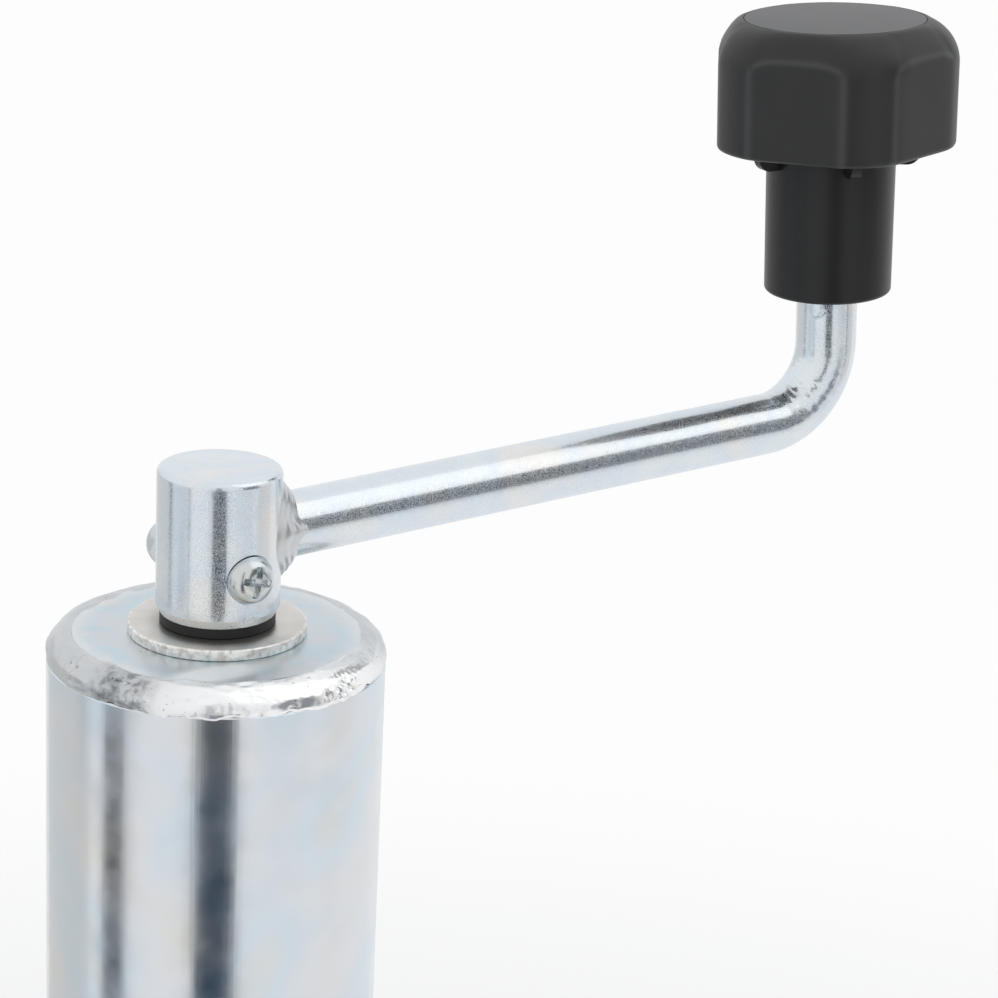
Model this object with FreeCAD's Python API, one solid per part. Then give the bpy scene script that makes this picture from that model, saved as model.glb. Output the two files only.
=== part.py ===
import FreeCAD, Part
import math
import os

from FreeCAD import Vector

# A jockey wheel for a trailer drawbar, in millimetres, each piece a solid of its own.
# +Z is up along the tube, the crank arm lies along +X, and the origin is on the tube's axis
# at the middle of the outer tube. The wheel is wound right in.

# Clearances
FIXED_GAP = 0.05  # radial, between pieces pressed, pinned or welded together
TURN_GAP = 0.06  # radial, a shaft in its bush, thread or bore
FACE_GAP = 0.1  # axial, between faces that turn on each other
SLIDE_GAP = 0.5  # radial, inner tube in outer tube
GUIDE_GAP = 0.3  # each side of the guide pin in its slot
KNOB_END_GAP = 0.3  # axial, knob sleeve between the rod's ears and the retainer
LOOSE_GAP = 0.5  # radial, round a shaft that a washer doesn't guide
CUT_OVER = 1.0  # how far a cutting tool runs past the face it cuts

# Outer tube and its closed top
TUBE_D = 60.0
TUBE_WALL = 3.0
TUBE_LENGTH = 360.0
TUBE_END_CHAMFER = 0.6
PLATE_T = 8.0
PLATE_RISE = 4.0  # plate's face over the tube's end
BEAD_WIDTH = 4.5  # weld bead, in from the tube's outside
BEAD_DROP = 4.9  # weld bead, down from the plate's face
BEAD_ROUND = 4.2
WASHER_EDGE = 0.5  # chamfer on washers and bush flanges
BUSH_WALL = 2.0
BUSH_FLANGE_T = 1.5
BUSH_FLANGE_WIDTH = 1.5
TOP_WASHER_D = 31.7
TOP_WASHER_T = 2.0
GUIDE_D = 8.0
GUIDE_HEAD_D = 10.0
GUIDE_UP = 15.0  # guide pin over the tube's lower end
GUIDE_REACH = 2.6  # how far the pin goes into the slot's wall
GUIDE_SUNK = 0.1  # pin's face under the tube's outside
GUIDE_CHAMFER = 0.6

# Spindle, thrust bearing and nut
STROKE_LENGTH = 180.0
SCREW_D = 20.0
JOURNAL_D = 14.0
JOURNAL_CHAMFER = 1.0
JOURNAL_END_GAP = 0.2  # journal's end under the hub's bore end
SCREW_CHAMFER = 1.5
BEARING_D = 35.0
BEARING_H = 10.0
RACE_T = 3.0
BALL_D = 5.0
BALL_COUNT = 12
CAGE_T = 1.6
CAGE_PLAY = 0.15
COLLAR_D = 31.0
COLLAR_H = 10.0
PIN_D = 5.0
END_PIN_LENGTH = 28.0
END_PIN_UP = 6.0  # end pin's axis over the spindle's lower end
NUT_SPIGOT = 27.0
NUT_FLANGE_T = 3.0
NUT_CLEAR = 8.0  # nut's top under the collar, wound in
STOP_CLEAR = 1.0  # nut's foot over the end pin, wound out

# Crank
HUB_D = 22.0
HUB_H = 26.6
HUB_EDGE = 1.2
HUB_FOOT_BEVEL = 1.6
HUB_FOOT_INSET = 0.8
HUB_TOP_WALL = 5.0
RING_D = 20.5
RING_T = 1.7
CROSS_D = 6.0
CROSS_UP = 8.4  # cross screw's axis over the hub's foot
CROSS_SKEW_DEG = 5.0  # off square to the arm, as the hole is drilled
CROSS_FALL_DEG = 3.0  # down towards the nut
CROSS_HEAD_D = 8.6
CROSS_HEAD_H = 3.4
CROSS_HEAD_ROUND = 2.2
CROSS_NUT_AF = 10.0
CROSS_NUT_H = 5.0
CROSS_DOME_D = 9.4
CROSS_DOME_H = 6.4
CROSS_DOME_ROUND = 4.4
SPOT_FACE_GAP = 0.15
ROD_D = 11.8
ARM_UP = 13.24  # rod's axis over the hub's foot, on the spindle's axis
ARM_RISE_DEG = 3.9
ARM_LENGTH = 132.5  # along the rod from the spindle's axis to the elbow's corner
ELBOW_R = 15.0
ELBOW_TO_KNOB = 25.15  # from the elbow's corner to the knob's foot
WELD_LENGTH = 6.0  # along the rod's sides
WELD_TOP_LENGTH = 1.6
WELD_FOOT_LENGTH = 3.8
WELD_HEIGHT = 2.6
WELD_SIDE_HEIGHT = 3.1  # where it wraps the hub's side
WELD_TOE = 0.4
EAR_R = 1.9
EAR_PROUD = 1.1
EAR_AZIMUTH_DEG = -148.0

# Knob
NECK_D_FOOT = 24.6
NECK_D_TOP = 24.8
NECK_H = 29.0
NECK_EDGE = 0.8
RIB_R = 17.0  # ribs under the lobes, out from the knob's axis
RIB_T = 2.0
RIB_H = 3.8
RIB_ROUND = 2.6
SLEEVE_SPIGOT_D = 22.0
SLEEVE_SPIGOT_H = 16.2
HEAD_H = 23.9
LOBE_COUNT = 5
LOBE_R = 23.65
LOBE_HALF_DEG = 11.5
LOBE_EDGE = 2.8
LOBE_AZIMUTH_DEG = -111.0
FLUTE_R = 21.0
SHOULDER_R = 9.5
HEAD_FOOT_EDGE = 1.6
HEAD_WALL = 3.0
HEAD_RECESS_H = 12.0
CAP_D = 34.6
CAP_T = 2.2
CAP_SEAM = 0.15
CAP_CROWN = 0.3
RETAINER_D = 16.0
RETAINER_T = 1.5
ROD_END_OVER = 2.0  # rod's end over the retainer

# Inner tube and its foot
INNER_WALL = 3.0
INNER_SHOWS = 10.0  # below the outer tube, wound in
SLOT_SPARE = 2.0  # each end of the slot past the guide pin's travel
PLUG_SPIGOT = 28.0
PLUG_FLANGE_T = 8.0
KINGPIN_D = 18.0
KINGPIN_THREAD_D = 16.0
KINGPIN_THREAD_L = 22.0
KINGPIN_END_GAP = 1.0
KINGPIN_HEAD_D = 28.0
KINGPIN_HEAD_H = 8.0
KINGPIN_HEAD_EDGE = 1.5

# Fork and axle
FORK_T = 6.0
FORK_BEND_R = 4.0  # inside the bend
FORK_HALF = 31.0  # plate's edge, fore and aft of the kingpin
FORK_SKIRT = 20.0  # straight edge of the leg under the plate
FORK_BOSS_R = 20.0
SWIVEL_WASHER_D = 50.0
SWIVEL_WASHER_T = 3.0
TRAIL = 40.0
WHEEL_CLEAR = 4.0  # tyre under the kingpin's head
AXLE_D = 16.0
AXLE_HEAD_AF = 24.0
AXLE_HEAD_H = 10.0
AXLE_NUT_H = 13.0
AXLE_END = 4.0  # thread past the nut
AXLE_WASHER_D = 30.0
AXLE_WASHER_T = 3.0
HEX_CHAMFER = 1.2

# Wheel
WHEEL_D = 200.0
TYRE_WIDTH = 50.0
TYRE_SIDE_CLEAR = 3.0
TREAD_CROWN = 1.5
TREAD_SHOULDER_R = 8.0
GROOVE_WIDTH = 3.5
GROOVE_DEPTH = 3.0
GROOVE_PITCH = 12.0
GROOVE_COUNT = 3
RIM_T = 2.5
RIM_LIP_ROUND = 1.5
RIM_SEAT_D = 124.0
RIM_INSET = 2.5  # rim's edge inside the tyre's side
RIM_LIP = 5.0
RIM_DISH = 7.0
RIM_DISH_WIDTH = 10.0
RIM_COLLAR = 7.0
RIM_BEND_R = 3.5
RIM_BOLT_D = 8.0
RIM_BOLT_COUNT = 5
RIM_BOLT_PCD = 84.0
RIM_BOLT_AF = 13.0
RIM_BOLT_HEAD_H = 5.3
RIM_NUT_H = 6.5
RIM_BOLT_END = 1.5
HUB_TUBE_D = 30.0
HUB_TUBE_WALL = 3.0
HUB_BUSH_L = 20.0
HUB_BUSH_FLANGE_T = 2.5
SIDE_PLAY = 0.5

# Places up and down the tube
tube_r = TUBE_D / 2
tube_bore_r = tube_r - TUBE_WALL
tube_top = TUBE_LENGTH / 2
tube_foot = -TUBE_LENGTH / 2
face = tube_top + PLATE_RISE
plate_foot = face - PLATE_T
journal_r = JOURNAL_D / 2
screw_r = SCREW_D / 2
bearing_foot = plate_foot - BEARING_H
collar_foot = bearing_foot - COLLAR_H
hub_foot = face + TOP_WASHER_T + FACE_GAP + RING_T
hub_top = hub_foot + HUB_H
hub_bore_top = hub_top - HUB_TOP_WALL
cross_centre = Vector(0, 0, hub_foot + CROSS_UP)
arm_z = hub_foot + ARM_UP

inner_r = tube_bore_r - SLIDE_GAP
inner_bore_r = inner_r - INNER_WALL
inner_top = collar_foot - NUT_CLEAR - NUT_FLANGE_T
inner_foot = tube_foot - INNER_SHOWS
guide_z = tube_foot + GUIDE_UP
nut_foot = inner_top - NUT_SPIGOT
end_pin_z = nut_foot - STROKE_LENGTH - STOP_CLEAR - PIN_D / 2
spindle_foot = end_pin_z - END_PIN_UP

plug_foot = inner_foot - PLUG_FLANGE_T
fork_top = plug_foot - FACE_GAP - SWIVEL_WASHER_T
fork_plate_foot = fork_top - FORK_T
king_head_top = fork_plate_foot - FACE_GAP
king_head_foot = king_head_top - KINGPIN_HEAD_H
wheel_r = WHEEL_D / 2
head_to_axle = max(0.0, TRAIL - KINGPIN_HEAD_D / 2)
axle_z = king_head_foot - WHEEL_CLEAR - math.sqrt(wheel_r**2 - head_to_axle**2)
fork_gap = TYRE_WIDTH / 2 + TYRE_SIDE_CLEAR
fork_side = fork_gap + FORK_T
hub_tube_half = fork_gap - SIDE_PLAY - HUB_BUSH_FLANGE_T
rim_edge = TYRE_WIDTH / 2 - RIM_INSET

rise = math.radians(ARM_RISE_DEG)
along_arm = Vector(math.cos(rise), 0, math.sin(rise))
along_knob = Vector(-math.sin(rise), 0, math.cos(rise))
elbow = Vector(0, 0, arm_z) + along_arm * ARM_LENGTH
knob_foot = elbow + along_knob * ELBOW_TO_KNOB
skew = math.radians(CROSS_SKEW_DEG)
fall = math.radians(CROSS_FALL_DEG)
to_nut = Vector(-math.sin(skew) * math.cos(fall), math.cos(skew) * math.cos(fall), -math.sin(fall))
sleeve_top = NECK_H + SLEEVE_SPIGOT_H
retainer_foot = sleeve_top + KNOB_END_GAP
rod_end = retainer_foot + RETAINER_T + ROD_END_OVER
head_top = NECK_H + HEAD_H

UP = Vector(0, 0, 1)
SAME = 1e-3  # two places or sizes closer than this are one


def section(corners):
    """Closed wire in the XZ plane from (radius, height) corners, a third number rounding one."""
    points = [Vector(c[0], 0, c[1]) for c in corners]
    edges, ends = [], []
    for i, corner in enumerate(corners):
        here, before, after = points[i], points[i - 1], points[(i + 1) % len(points)]
        if len(corner) < 3:
            ends.append((here, here))
            continue
        back = (before - here).normalize()
        on = (after - here).normalize()
        half = back.getAngle(on) / 2
        reach = corner[2] / math.tan(half)
        centre = here + (back + on).normalize() * (corner[2] / math.sin(half))
        middle = centre + (here - centre).normalize() * corner[2]
        start, end = here + back * reach, here + on * reach
        edges.append(Part.Arc(start, middle, end).toShape())
        ends.append((start, end))
    for i, (start, end) in enumerate(ends):
        following = ends[(i + 1) % len(ends)][0]
        if end.distanceToPoint(following) > SAME:
            edges.append(Part.LineSegment(end, following).toShape())
    return Part.Wire(Part.__sortEdges__(edges))


def turned(*corners):
    """Solid turned about Z from its half section."""
    return Part.Face(section(corners)).revolve(Vector(), UP, 360)


def ring(bore_r, outer_r, low, high):
    return turned((bore_r, low), (outer_r, low), (outer_r, high), (bore_r, high))


def washer(bore_r, outer_r, low, high):
    """Ring with its two outer edges taken off."""
    return turned(
        (bore_r, low),
        (outer_r - WASHER_EDGE, low),
        (outer_r, low + WASHER_EDGE),
        (outer_r, high - WASHER_EDGE),
        (outer_r - WASHER_EDGE, high),
        (bore_r, high),
    )


def rod_between(radius, start, end):
    """Round bar from one point to another."""
    span = end - start
    return Part.makeCylinder(radius, span.Length, start, span)


def hexagon(across_flats, height, chamfered=True):
    """Hexagon bar standing on z = 0, its top corners turned off."""
    corner_r = across_flats / math.sqrt(3)
    corners = [
        Vector(corner_r * math.cos(a), corner_r * math.sin(a), 0)
        for a in (math.radians(60 * i) for i in range(7))
    ]
    bar = Part.Face(Part.makePolygon(corners)).extrude(UP * height)
    if not chamfered:
        return bar
    turned_off = corner_r - across_flats / 2
    envelope = turned(
        (0, 0),
        (corner_r + CUT_OVER, 0),
        (corner_r + CUT_OVER, height - HEX_CHAMFER - turned_off - CUT_OVER),
        (across_flats / 2 - HEX_CHAMFER, height),
        (0, height),
    )
    return bar.common(envelope)


def on_knob(shape):
    """Moves a shape from its own axis on Z to the knob's axis, z = 0 at the knob's foot."""
    tilt = FreeCAD.Rotation(Vector(0, 1, 0), -ARM_RISE_DEG)
    return shape.transformGeometry(FreeCAD.Placement(knob_foot, tilt).toMatrix())


def placed(shape, place, turn):
    shape.Placement = FreeCAD.Placement(place, turn).multiply(shape.Placement)
    return shape


# A turn that lays a piece made on Z along +Y, as the axle lies, and one that lays it along -Y.
TO_PLUS_Y = FreeCAD.Rotation(Vector(1, 0, 0), -90)
TO_MINUS_Y = FreeCAD.Rotation(Vector(1, 0, 0), 90)
axle_centre = Vector(-TRAIL, 0, axle_z)


# Outer tube: drawn steel, its lower end open, a round hole for the guide pin at the back.
def outer_tube():
    bead_leg = BEAD_DROP - PLATE_RISE
    tube = turned(
        (tube_bore_r, tube_foot + TUBE_END_CHAMFER),
        (tube_bore_r + TUBE_END_CHAMFER, tube_foot),
        (tube_r - TUBE_END_CHAMFER, tube_foot),
        (tube_r, tube_foot + TUBE_END_CHAMFER),
        (tube_r, tube_top - bead_leg),
        (tube_r - bead_leg, tube_top),
        (tube_bore_r, tube_top),
    )
    hole = rod_between(
        GUIDE_HEAD_D / 2 + FIXED_GAP, Vector(0, inner_r, guide_z), Vector(0, TUBE_D, guide_z)
    )
    return tube.cut(hole)


# Top plate: let into the tube's end, bevelled for the weld and counterbored for the bush.
def top_plate():
    plate_r = tube_bore_r - FIXED_GAP
    bore_r = journal_r + TURN_GAP + BUSH_WALL + FIXED_GAP
    flange_r = bore_r + BUSH_FLANGE_WIDTH
    return turned(
        (bore_r, plate_foot),
        (plate_r, plate_foot),
        (plate_r, tube_top),
        (tube_r - BEAD_WIDTH, face),
        (flange_r, face),
        (flange_r, face - BUSH_FLANGE_T),
        (bore_r, face - BUSH_FLANGE_T),
    )


# Weld bead: fills the bevel between plate and tube and rounds the rim over.
def rim_weld_bead():
    bead_leg = BEAD_DROP - PLATE_RISE
    return turned(
        (tube_r - BEAD_WIDTH, face),
        (tube_bore_r - FIXED_GAP, tube_top),
        (tube_r - bead_leg, tube_top),
        (tube_r, tube_top - bead_leg),
        (tube_r, face, BEAD_ROUND),
    )


# Bush: the spindle's journal turns in it, its flange lies under the washer.
def top_bush():
    bore_r = journal_r + TURN_GAP
    outer_r = bore_r + BUSH_WALL
    flange_r = outer_r + BUSH_FLANGE_WIDTH
    return turned(
        (bore_r, plate_foot),
        (outer_r, plate_foot),
        (outer_r, face - BUSH_FLANGE_T),
        (flange_r, face - BUSH_FLANGE_T),
        (flange_r, face),
        (bore_r, face),
    )


# Washer on the plate, which the crank turns on when the wheel hangs.
def top_washer():
    return washer(journal_r + LOOSE_GAP, TOP_WASHER_D / 2, face, face + TOP_WASHER_T)


# Guide pin: its head is dressed flush with the tube, its dog point keeps the inner tube from turning.
def guide_pin():
    shoulder = tube_bore_r
    point = inner_r - GUIDE_REACH
    pin = turned(
        (0, point),
        (GUIDE_D / 2 - GUIDE_CHAMFER, point),
        (GUIDE_D / 2, point + GUIDE_CHAMFER),
        (GUIDE_D / 2, shoulder),
        (GUIDE_HEAD_D / 2, shoulder),
        (GUIDE_HEAD_D / 2, tube_r),
        (0, tube_r),
    )
    pin = placed(pin, Vector(0, 0, guide_z), TO_PLUS_Y)
    dressed = ring(0, tube_r - GUIDE_SUNK, guide_z - GUIDE_HEAD_D, guide_z + GUIDE_HEAD_D)
    return pin.common(dressed)


# Thrust bearing under the plate: two grooved races and the balls in their cage.
bearing_mid = plate_foot - BEARING_H / 2
ball_ring_r = (screw_r + BEARING_D / 2) / 2


def ball_groove():
    groove_r = BALL_D / 2 + TURN_GAP
    return Part.makeTorus(ball_ring_r, groove_r, Vector(0, 0, bearing_mid), UP)


def bearing_upper_race():
    race = ring(screw_r + LOOSE_GAP, BEARING_D / 2, plate_foot - RACE_T, plate_foot)
    return race.cut(ball_groove())


def bearing_lower_race():
    race = ring(screw_r + FIXED_GAP, BEARING_D / 2, bearing_foot, bearing_foot + RACE_T)
    return race.cut(ball_groove())


def ball_places():
    for i in range(BALL_COUNT):
        a = 2 * math.pi * i / BALL_COUNT
        yield Vector(ball_ring_r * math.cos(a), ball_ring_r * math.sin(a), bearing_mid)


def bearing_balls():
    return Part.makeCompound([Part.makeSphere(BALL_D / 2, place) for place in ball_places()])


def bearing_cage():
    low, high = bearing_mid - CAGE_T / 2, bearing_mid + CAGE_T / 2
    cage = ring(screw_r + LOOSE_GAP, BEARING_D / 2 - LOOSE_GAP, low, high)
    pocket_r = BALL_D / 2 + CAGE_PLAY
    pockets = [
        Part.makeCylinder(pocket_r, BEARING_H, place - UP * (BEARING_H / 2))
        for place in ball_places()
    ]
    return cage.cut(Part.makeCompound(pockets))


# Spindle: screw below, plain where the collar and bearing sit, journal up into the hub.
def spindle():
    shoulder = plate_foot - FACE_GAP
    journal_top = hub_bore_top - JOURNAL_END_GAP
    bar = turned(
        (0, spindle_foot),
        (screw_r - SCREW_CHAMFER, spindle_foot),
        (screw_r, spindle_foot + SCREW_CHAMFER),
        (screw_r, shoulder),
        (journal_r, shoulder),
        (journal_r, journal_top - JOURNAL_CHAMFER),
        (journal_r - JOURNAL_CHAMFER, journal_top),
        (0, journal_top),
    )
    for z in (collar_foot + COLLAR_H / 2, end_pin_z):
        bar = bar.cut(cross_bore(PIN_D / 2 + FIXED_GAP, z, Vector(1, 0, 0)))
    return bar.cut(screw_bore())


def cross_bore(radius, z, direction):
    """Bar right through the tube's axis at a height, for cutting a hole."""
    middle = Vector(0, 0, z)
    return rod_between(radius, middle - direction * TUBE_D, middle + direction * TUBE_D)


def screw_bore():
    return cross_bore(CROSS_D / 2 + FIXED_GAP, cross_centre.z, to_nut)


# Collar under the bearing, pinned through the spindle: it carries the trailer's weight.
def spindle_collar():
    collar = ring(screw_r + FIXED_GAP, COLLAR_D / 2, collar_foot, bearing_foot)
    return collar.cut(
        cross_bore(PIN_D / 2 + FIXED_GAP, collar_foot + COLLAR_H / 2, Vector(1, 0, 0))
    )


def collar_pin():
    z = collar_foot + COLLAR_H / 2
    half = COLLAR_D / 2
    return rod_between(PIN_D / 2, Vector(-half, 0, z), Vector(half, 0, z))


# Pin through the spindle's lower end, which stops the nut from running off.
def spindle_end_pin():
    half = END_PIN_LENGTH / 2
    return rod_between(PIN_D / 2, Vector(-half, 0, end_pin_z), Vector(half, 0, end_pin_z))


# Crank hub: turned boss with a blind bore for the journal and flats for the cross screw and nut.
def seat_out(radius):
    """How far from the hub's axis a flat as wide as this radius lies."""
    return math.sqrt((HUB_D / 2) ** 2 - radius**2)


head_spot_r = CROSS_HEAD_D / 2 + SPOT_FACE_GAP
nut_spot_r = CROSS_NUT_AF / math.sqrt(3) + SPOT_FACE_GAP
head_seat = seat_out(head_spot_r)
nut_seat = seat_out(nut_spot_r)


def crank_hub():
    bore_r = journal_r + FIXED_GAP
    hub = turned(
        (bore_r, hub_foot),
        (HUB_D / 2 - HUB_FOOT_INSET, hub_foot),
        (HUB_D / 2, hub_foot + HUB_FOOT_BEVEL),
        (HUB_D / 2, hub_top, HUB_EDGE),
        (0, hub_top),
        (0, hub_bore_top),
        (bore_r, hub_bore_top),
    )
    hub = hub.cut(screw_bore())
    for way, spot_r, seat in ((-to_nut, head_spot_r, head_seat), (to_nut, nut_spot_r, nut_seat)):
        hub = hub.cut(rod_between(spot_r, cross_centre + way * seat, cross_centre + way * HUB_D))
    return hub


def hub_spacer_ring():
    return ring(journal_r + FIXED_GAP, RING_D / 2, hub_foot - RING_T, hub_foot)


# Cross screw, its pan head towards the front, and the domed nut behind the hub.
def cross_screw():
    tip = head_seat + nut_seat + CROSS_NUT_H
    screw = turned(
        (0, -tip),
        (CROSS_D / 2, -tip),
        (CROSS_D / 2, 0),
        (CROSS_HEAD_D / 2, 0),
        (CROSS_HEAD_D / 2, CROSS_HEAD_H, CROSS_HEAD_ROUND),
        (0, CROSS_HEAD_H),
    )
    return placed(screw, cross_centre - to_nut * head_seat, FreeCAD.Rotation(UP, -to_nut))


def cross_nut():
    body = hexagon(CROSS_NUT_AF, CROSS_NUT_H, chamfered=False)
    dome = turned(
        (0, CROSS_NUT_H),
        (CROSS_DOME_D / 2, CROSS_NUT_H),
        (CROSS_DOME_D / 2, CROSS_NUT_H + CROSS_DOME_H, CROSS_DOME_ROUND),
        (0, CROSS_NUT_H + CROSS_DOME_H),
    )
    nut = body.fuse(dome).removeSplitter()
    nut = nut.cut(Part.makeCylinder(CROSS_D / 2 + FIXED_GAP, CROSS_NUT_H + FIXED_GAP))
    return placed(nut, cross_centre + to_nut * nut_seat, FreeCAD.Rotation(UP, to_nut))


# Crank rod: one round bar, coped to the hub, bent square at the elbow, two ears crimped under the knob.
def crank_rod():
    radius = ROD_D / 2
    start = Vector(0, 0, arm_z)
    bend_start = elbow - along_arm * ELBOW_R
    bend_end = elbow + along_knob * ELBOW_R
    bend_centre = bend_start + along_knob * ELBOW_R
    bend_middle = bend_centre + (elbow - bend_centre).normalize() * ELBOW_R
    end = knob_foot + along_knob * rod_end
    path = Part.Wire(
        [
            Part.LineSegment(start, bend_start).toShape(),
            Part.Arc(bend_start, bend_middle, bend_end).toShape(),
            Part.LineSegment(bend_end, end).toShape(),
        ]
    )
    profile = Part.Wire(Part.makeCircle(radius, start, along_arm))
    bar = path.makePipeShell([profile], True, False)
    for turn in (0, 180):
        ear = Part.makeSphere(EAR_R, Vector(radius + EAR_PROUD - EAR_R, 0, -EAR_R - KNOB_END_GAP))
        ear.rotate(Vector(), UP, EAR_AZIMUTH_DEG + turn)
        bar = bar.fuse(on_knob(ear))
    return bar.cut(hub_cope())


def hub_cope():
    """Cylinder a little wider than the hub, for cutting what is welded to it."""
    return ring(0, HUB_D / 2 + FIXED_GAP, arm_z - HUB_H, arm_z + HUB_H)


# Weld between rod and hub: a cone round the rod, shorter above and below it, coped to the hub.
def arm_weld_fillet():
    rod_r = ROD_D / 2 + FIXED_GAP
    hub_r = HUB_D / 2
    side_r = rod_r + WELD_SIDE_HEIGHT
    buried = math.sqrt(hub_r**2 - side_r**2)
    weld = turned(
        (rod_r, buried),
        (side_r, buried),
        (rod_r + WELD_HEIGHT, hub_r),
        (rod_r + WELD_TOE, hub_r + WELD_LENGTH),
        (rod_r, hub_r + WELD_LENGTH),
    )
    steep_top = (WELD_LENGTH - WELD_TOP_LENGTH) / rod_r
    steep_foot = (WELD_LENGTH - WELD_FOOT_LENGTH) / rod_r
    nose = hub_r + WELD_LENGTH
    wedge = Part.makePolygon(
        [
            Vector(-side_r, -side_r, 0),
            Vector(-side_r, -side_r, nose - steep_top * side_r),
            Vector(0, -side_r, nose),
            Vector(side_r, -side_r, nose - steep_foot * side_r),
            Vector(side_r, -side_r, 0),
            Vector(-side_r, -side_r, 0),
        ]
    )
    weld = weld.common(Part.Face(wedge).extrude(Vector(0, 2 * side_r, 0)))
    weld = placed(
        weld, Vector(0, 0, arm_z), FreeCAD.Rotation(Vector(0, 1, 0), 90 - ARM_RISE_DEG)
    )
    return weld.cut(hub_cope())


# Push-on washer on the rod's end, which keeps the knob on.
def knob_retainer():
    plain = ring(ROD_D / 2 + FIXED_GAP, RETAINER_D / 2, retainer_foot, retainer_foot + RETAINER_T)
    return on_knob(plain)


# Knob sleeve: moulded neck, running on the rod, with a rib under each lobe of the head.
def knob_sleeve():
    bore_r = ROD_D / 2 + TURN_GAP
    sleeve = turned(
        (bore_r, 0),
        (NECK_D_FOOT / 2, 0, NECK_EDGE),
        (NECK_D_TOP / 2, NECK_H),
        (SLEEVE_SPIGOT_D / 2, NECK_H),
        (SLEEVE_SPIGOT_D / 2, sleeve_top),
        (bore_r, sleeve_top),
    )
    outline = section(
        [
            (SLEEVE_SPIGOT_D / 2, NECK_H - RIB_H),
            (RIB_R, NECK_H - RIB_H, RIB_ROUND),
            (RIB_R, NECK_H),
            (SLEEVE_SPIGOT_D / 2, NECK_H),
        ]
    )
    outline.translate(Vector(0, -RIB_T / 2, 0))
    for i in range(LOBE_COUNT):
        rib = Part.Face(outline).extrude(Vector(0, RIB_T, 0))
        rib.rotate(Vector(), UP, LOBE_AZIMUTH_DEG + i * 360 / LOBE_COUNT)
        sleeve = sleeve.fuse(rib)
    return on_knob(sleeve.removeSplitter())


# Knob head: a domed round moulding with shallow hollow flutes between its lobes, open underneath.
def head_blank():
    """Turned form of the head: straight side and shoulder arc up to the cap."""
    cap_r = CAP_D / 2
    shoulder_in = LOBE_R - SHOULDER_R
    shoulder_z = HEAD_H - math.sqrt(SHOULDER_R**2 - (cap_r - shoulder_in) ** 2)
    lean = math.asin((HEAD_H - shoulder_z) / SHOULDER_R) / 2
    on_shoulder = Vector(
        shoulder_in + SHOULDER_R * math.cos(lean), 0, shoulder_z + SHOULDER_R * math.sin(lean)
    )
    foot, shoulder, top = Vector(LOBE_R, 0, 0), Vector(LOBE_R, 0, shoulder_z), Vector(cap_r, 0, HEAD_H)
    outline = [
        Part.LineSegment(Vector(), foot).toShape(),
        Part.LineSegment(foot, shoulder).toShape(),
        Part.Arc(shoulder, on_shoulder, top).toShape(),
        Part.LineSegment(top, UP * HEAD_H).toShape(),
        Part.LineSegment(UP * HEAD_H, Vector()).toShape(),
    ]
    return Part.Face(Part.Wire(outline)).revolve(Vector(), UP, 360)


def knob_head():
    step = 2 * math.pi / LOBE_COUNT
    half_flute = step / 2 - math.radians(LOBE_HALF_DEG)
    half_chord = LOBE_R * math.sin(half_flute)
    hollow = LOBE_R * math.cos(half_flute) - FLUTE_R
    hollow_r = (half_chord**2 + hollow**2) / (2 * hollow)
    head = head_blank()
    for i in range(LOBE_COUNT):
        a = (i + 0.5) * step
        away = Vector(math.cos(a), math.sin(a), 0) * (FLUTE_R + hollow_r)
        head = head.cut(rod_between(hollow_r, away - UP * CUT_OVER, away + UP * (HEAD_H + CUT_OVER)))
    flutes = [
        f
        for f in head.Faces
        if isinstance(f.Surface, Part.Cylinder) and abs(f.Surface.Radius - hollow_r) < SAME
    ]
    head = head.makeFillet(LOBE_EDGE, [e for f in flutes for e in f.Edges if e.BoundBox.ZMax > SAME])
    head = head.makeFillet(HEAD_FOOT_EDGE, [e for e in head.Edges if e.BoundBox.ZMax < SAME])
    cap_r = CAP_D / 2 - FIXED_GAP
    head = head.cut(Part.makeCylinder(SLEEVE_SPIGOT_D / 2 + FIXED_GAP, HEAD_H))
    head = head.cut(ring(0, cap_r, HEAD_H - CAP_T, HEAD_H + CUT_OVER))
    recess_in = NECK_D_TOP / 2 + HEAD_WALL
    recess_out = FLUTE_R - HEAD_WALL
    if recess_out > recess_in:
        head = head.cut(ring(recess_in, recess_out, 0, HEAD_RECESS_H))
    head.rotate(Vector(), UP, LOBE_AZIMUTH_DEG)
    head.translate(UP * NECK_H)
    return on_knob(head)


# Knob cap: pressed into the head's top, a fine seam round it.
def knob_cap():
    cap_r = CAP_D / 2 - CAP_SEAM
    low = head_top - CAP_T
    crown_r = (cap_r**2 + CAP_CROWN**2) / (2 * CAP_CROWN)
    disc = Part.makeCylinder(cap_r, CAP_T + CAP_CROWN, Vector(0, 0, low))
    ball = Part.makeSphere(crown_r, Vector(0, 0, head_top + CAP_CROWN - crown_r))
    return on_knob(disc.common(ball))


# Inner tube: slides in the outer tube, with a long slot at the back for the guide pin.
def inner_tube():
    tube = ring(inner_bore_r, inner_r, inner_foot, inner_top)
    slot_r = GUIDE_D / 2 + GUIDE_GAP
    low, high = guide_z - SLOT_SPARE, guide_z + STROKE_LENGTH + SLOT_SPARE
    slot = Part.makeBox(2 * slot_r, inner_r, high - low, Vector(-slot_r, 0, low))
    for z in (low, high):
        slot = slot.fuse(rod_between(slot_r, Vector(0, 0, z), Vector(0, inner_r, z)))
    return tube.cut(slot)


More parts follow.
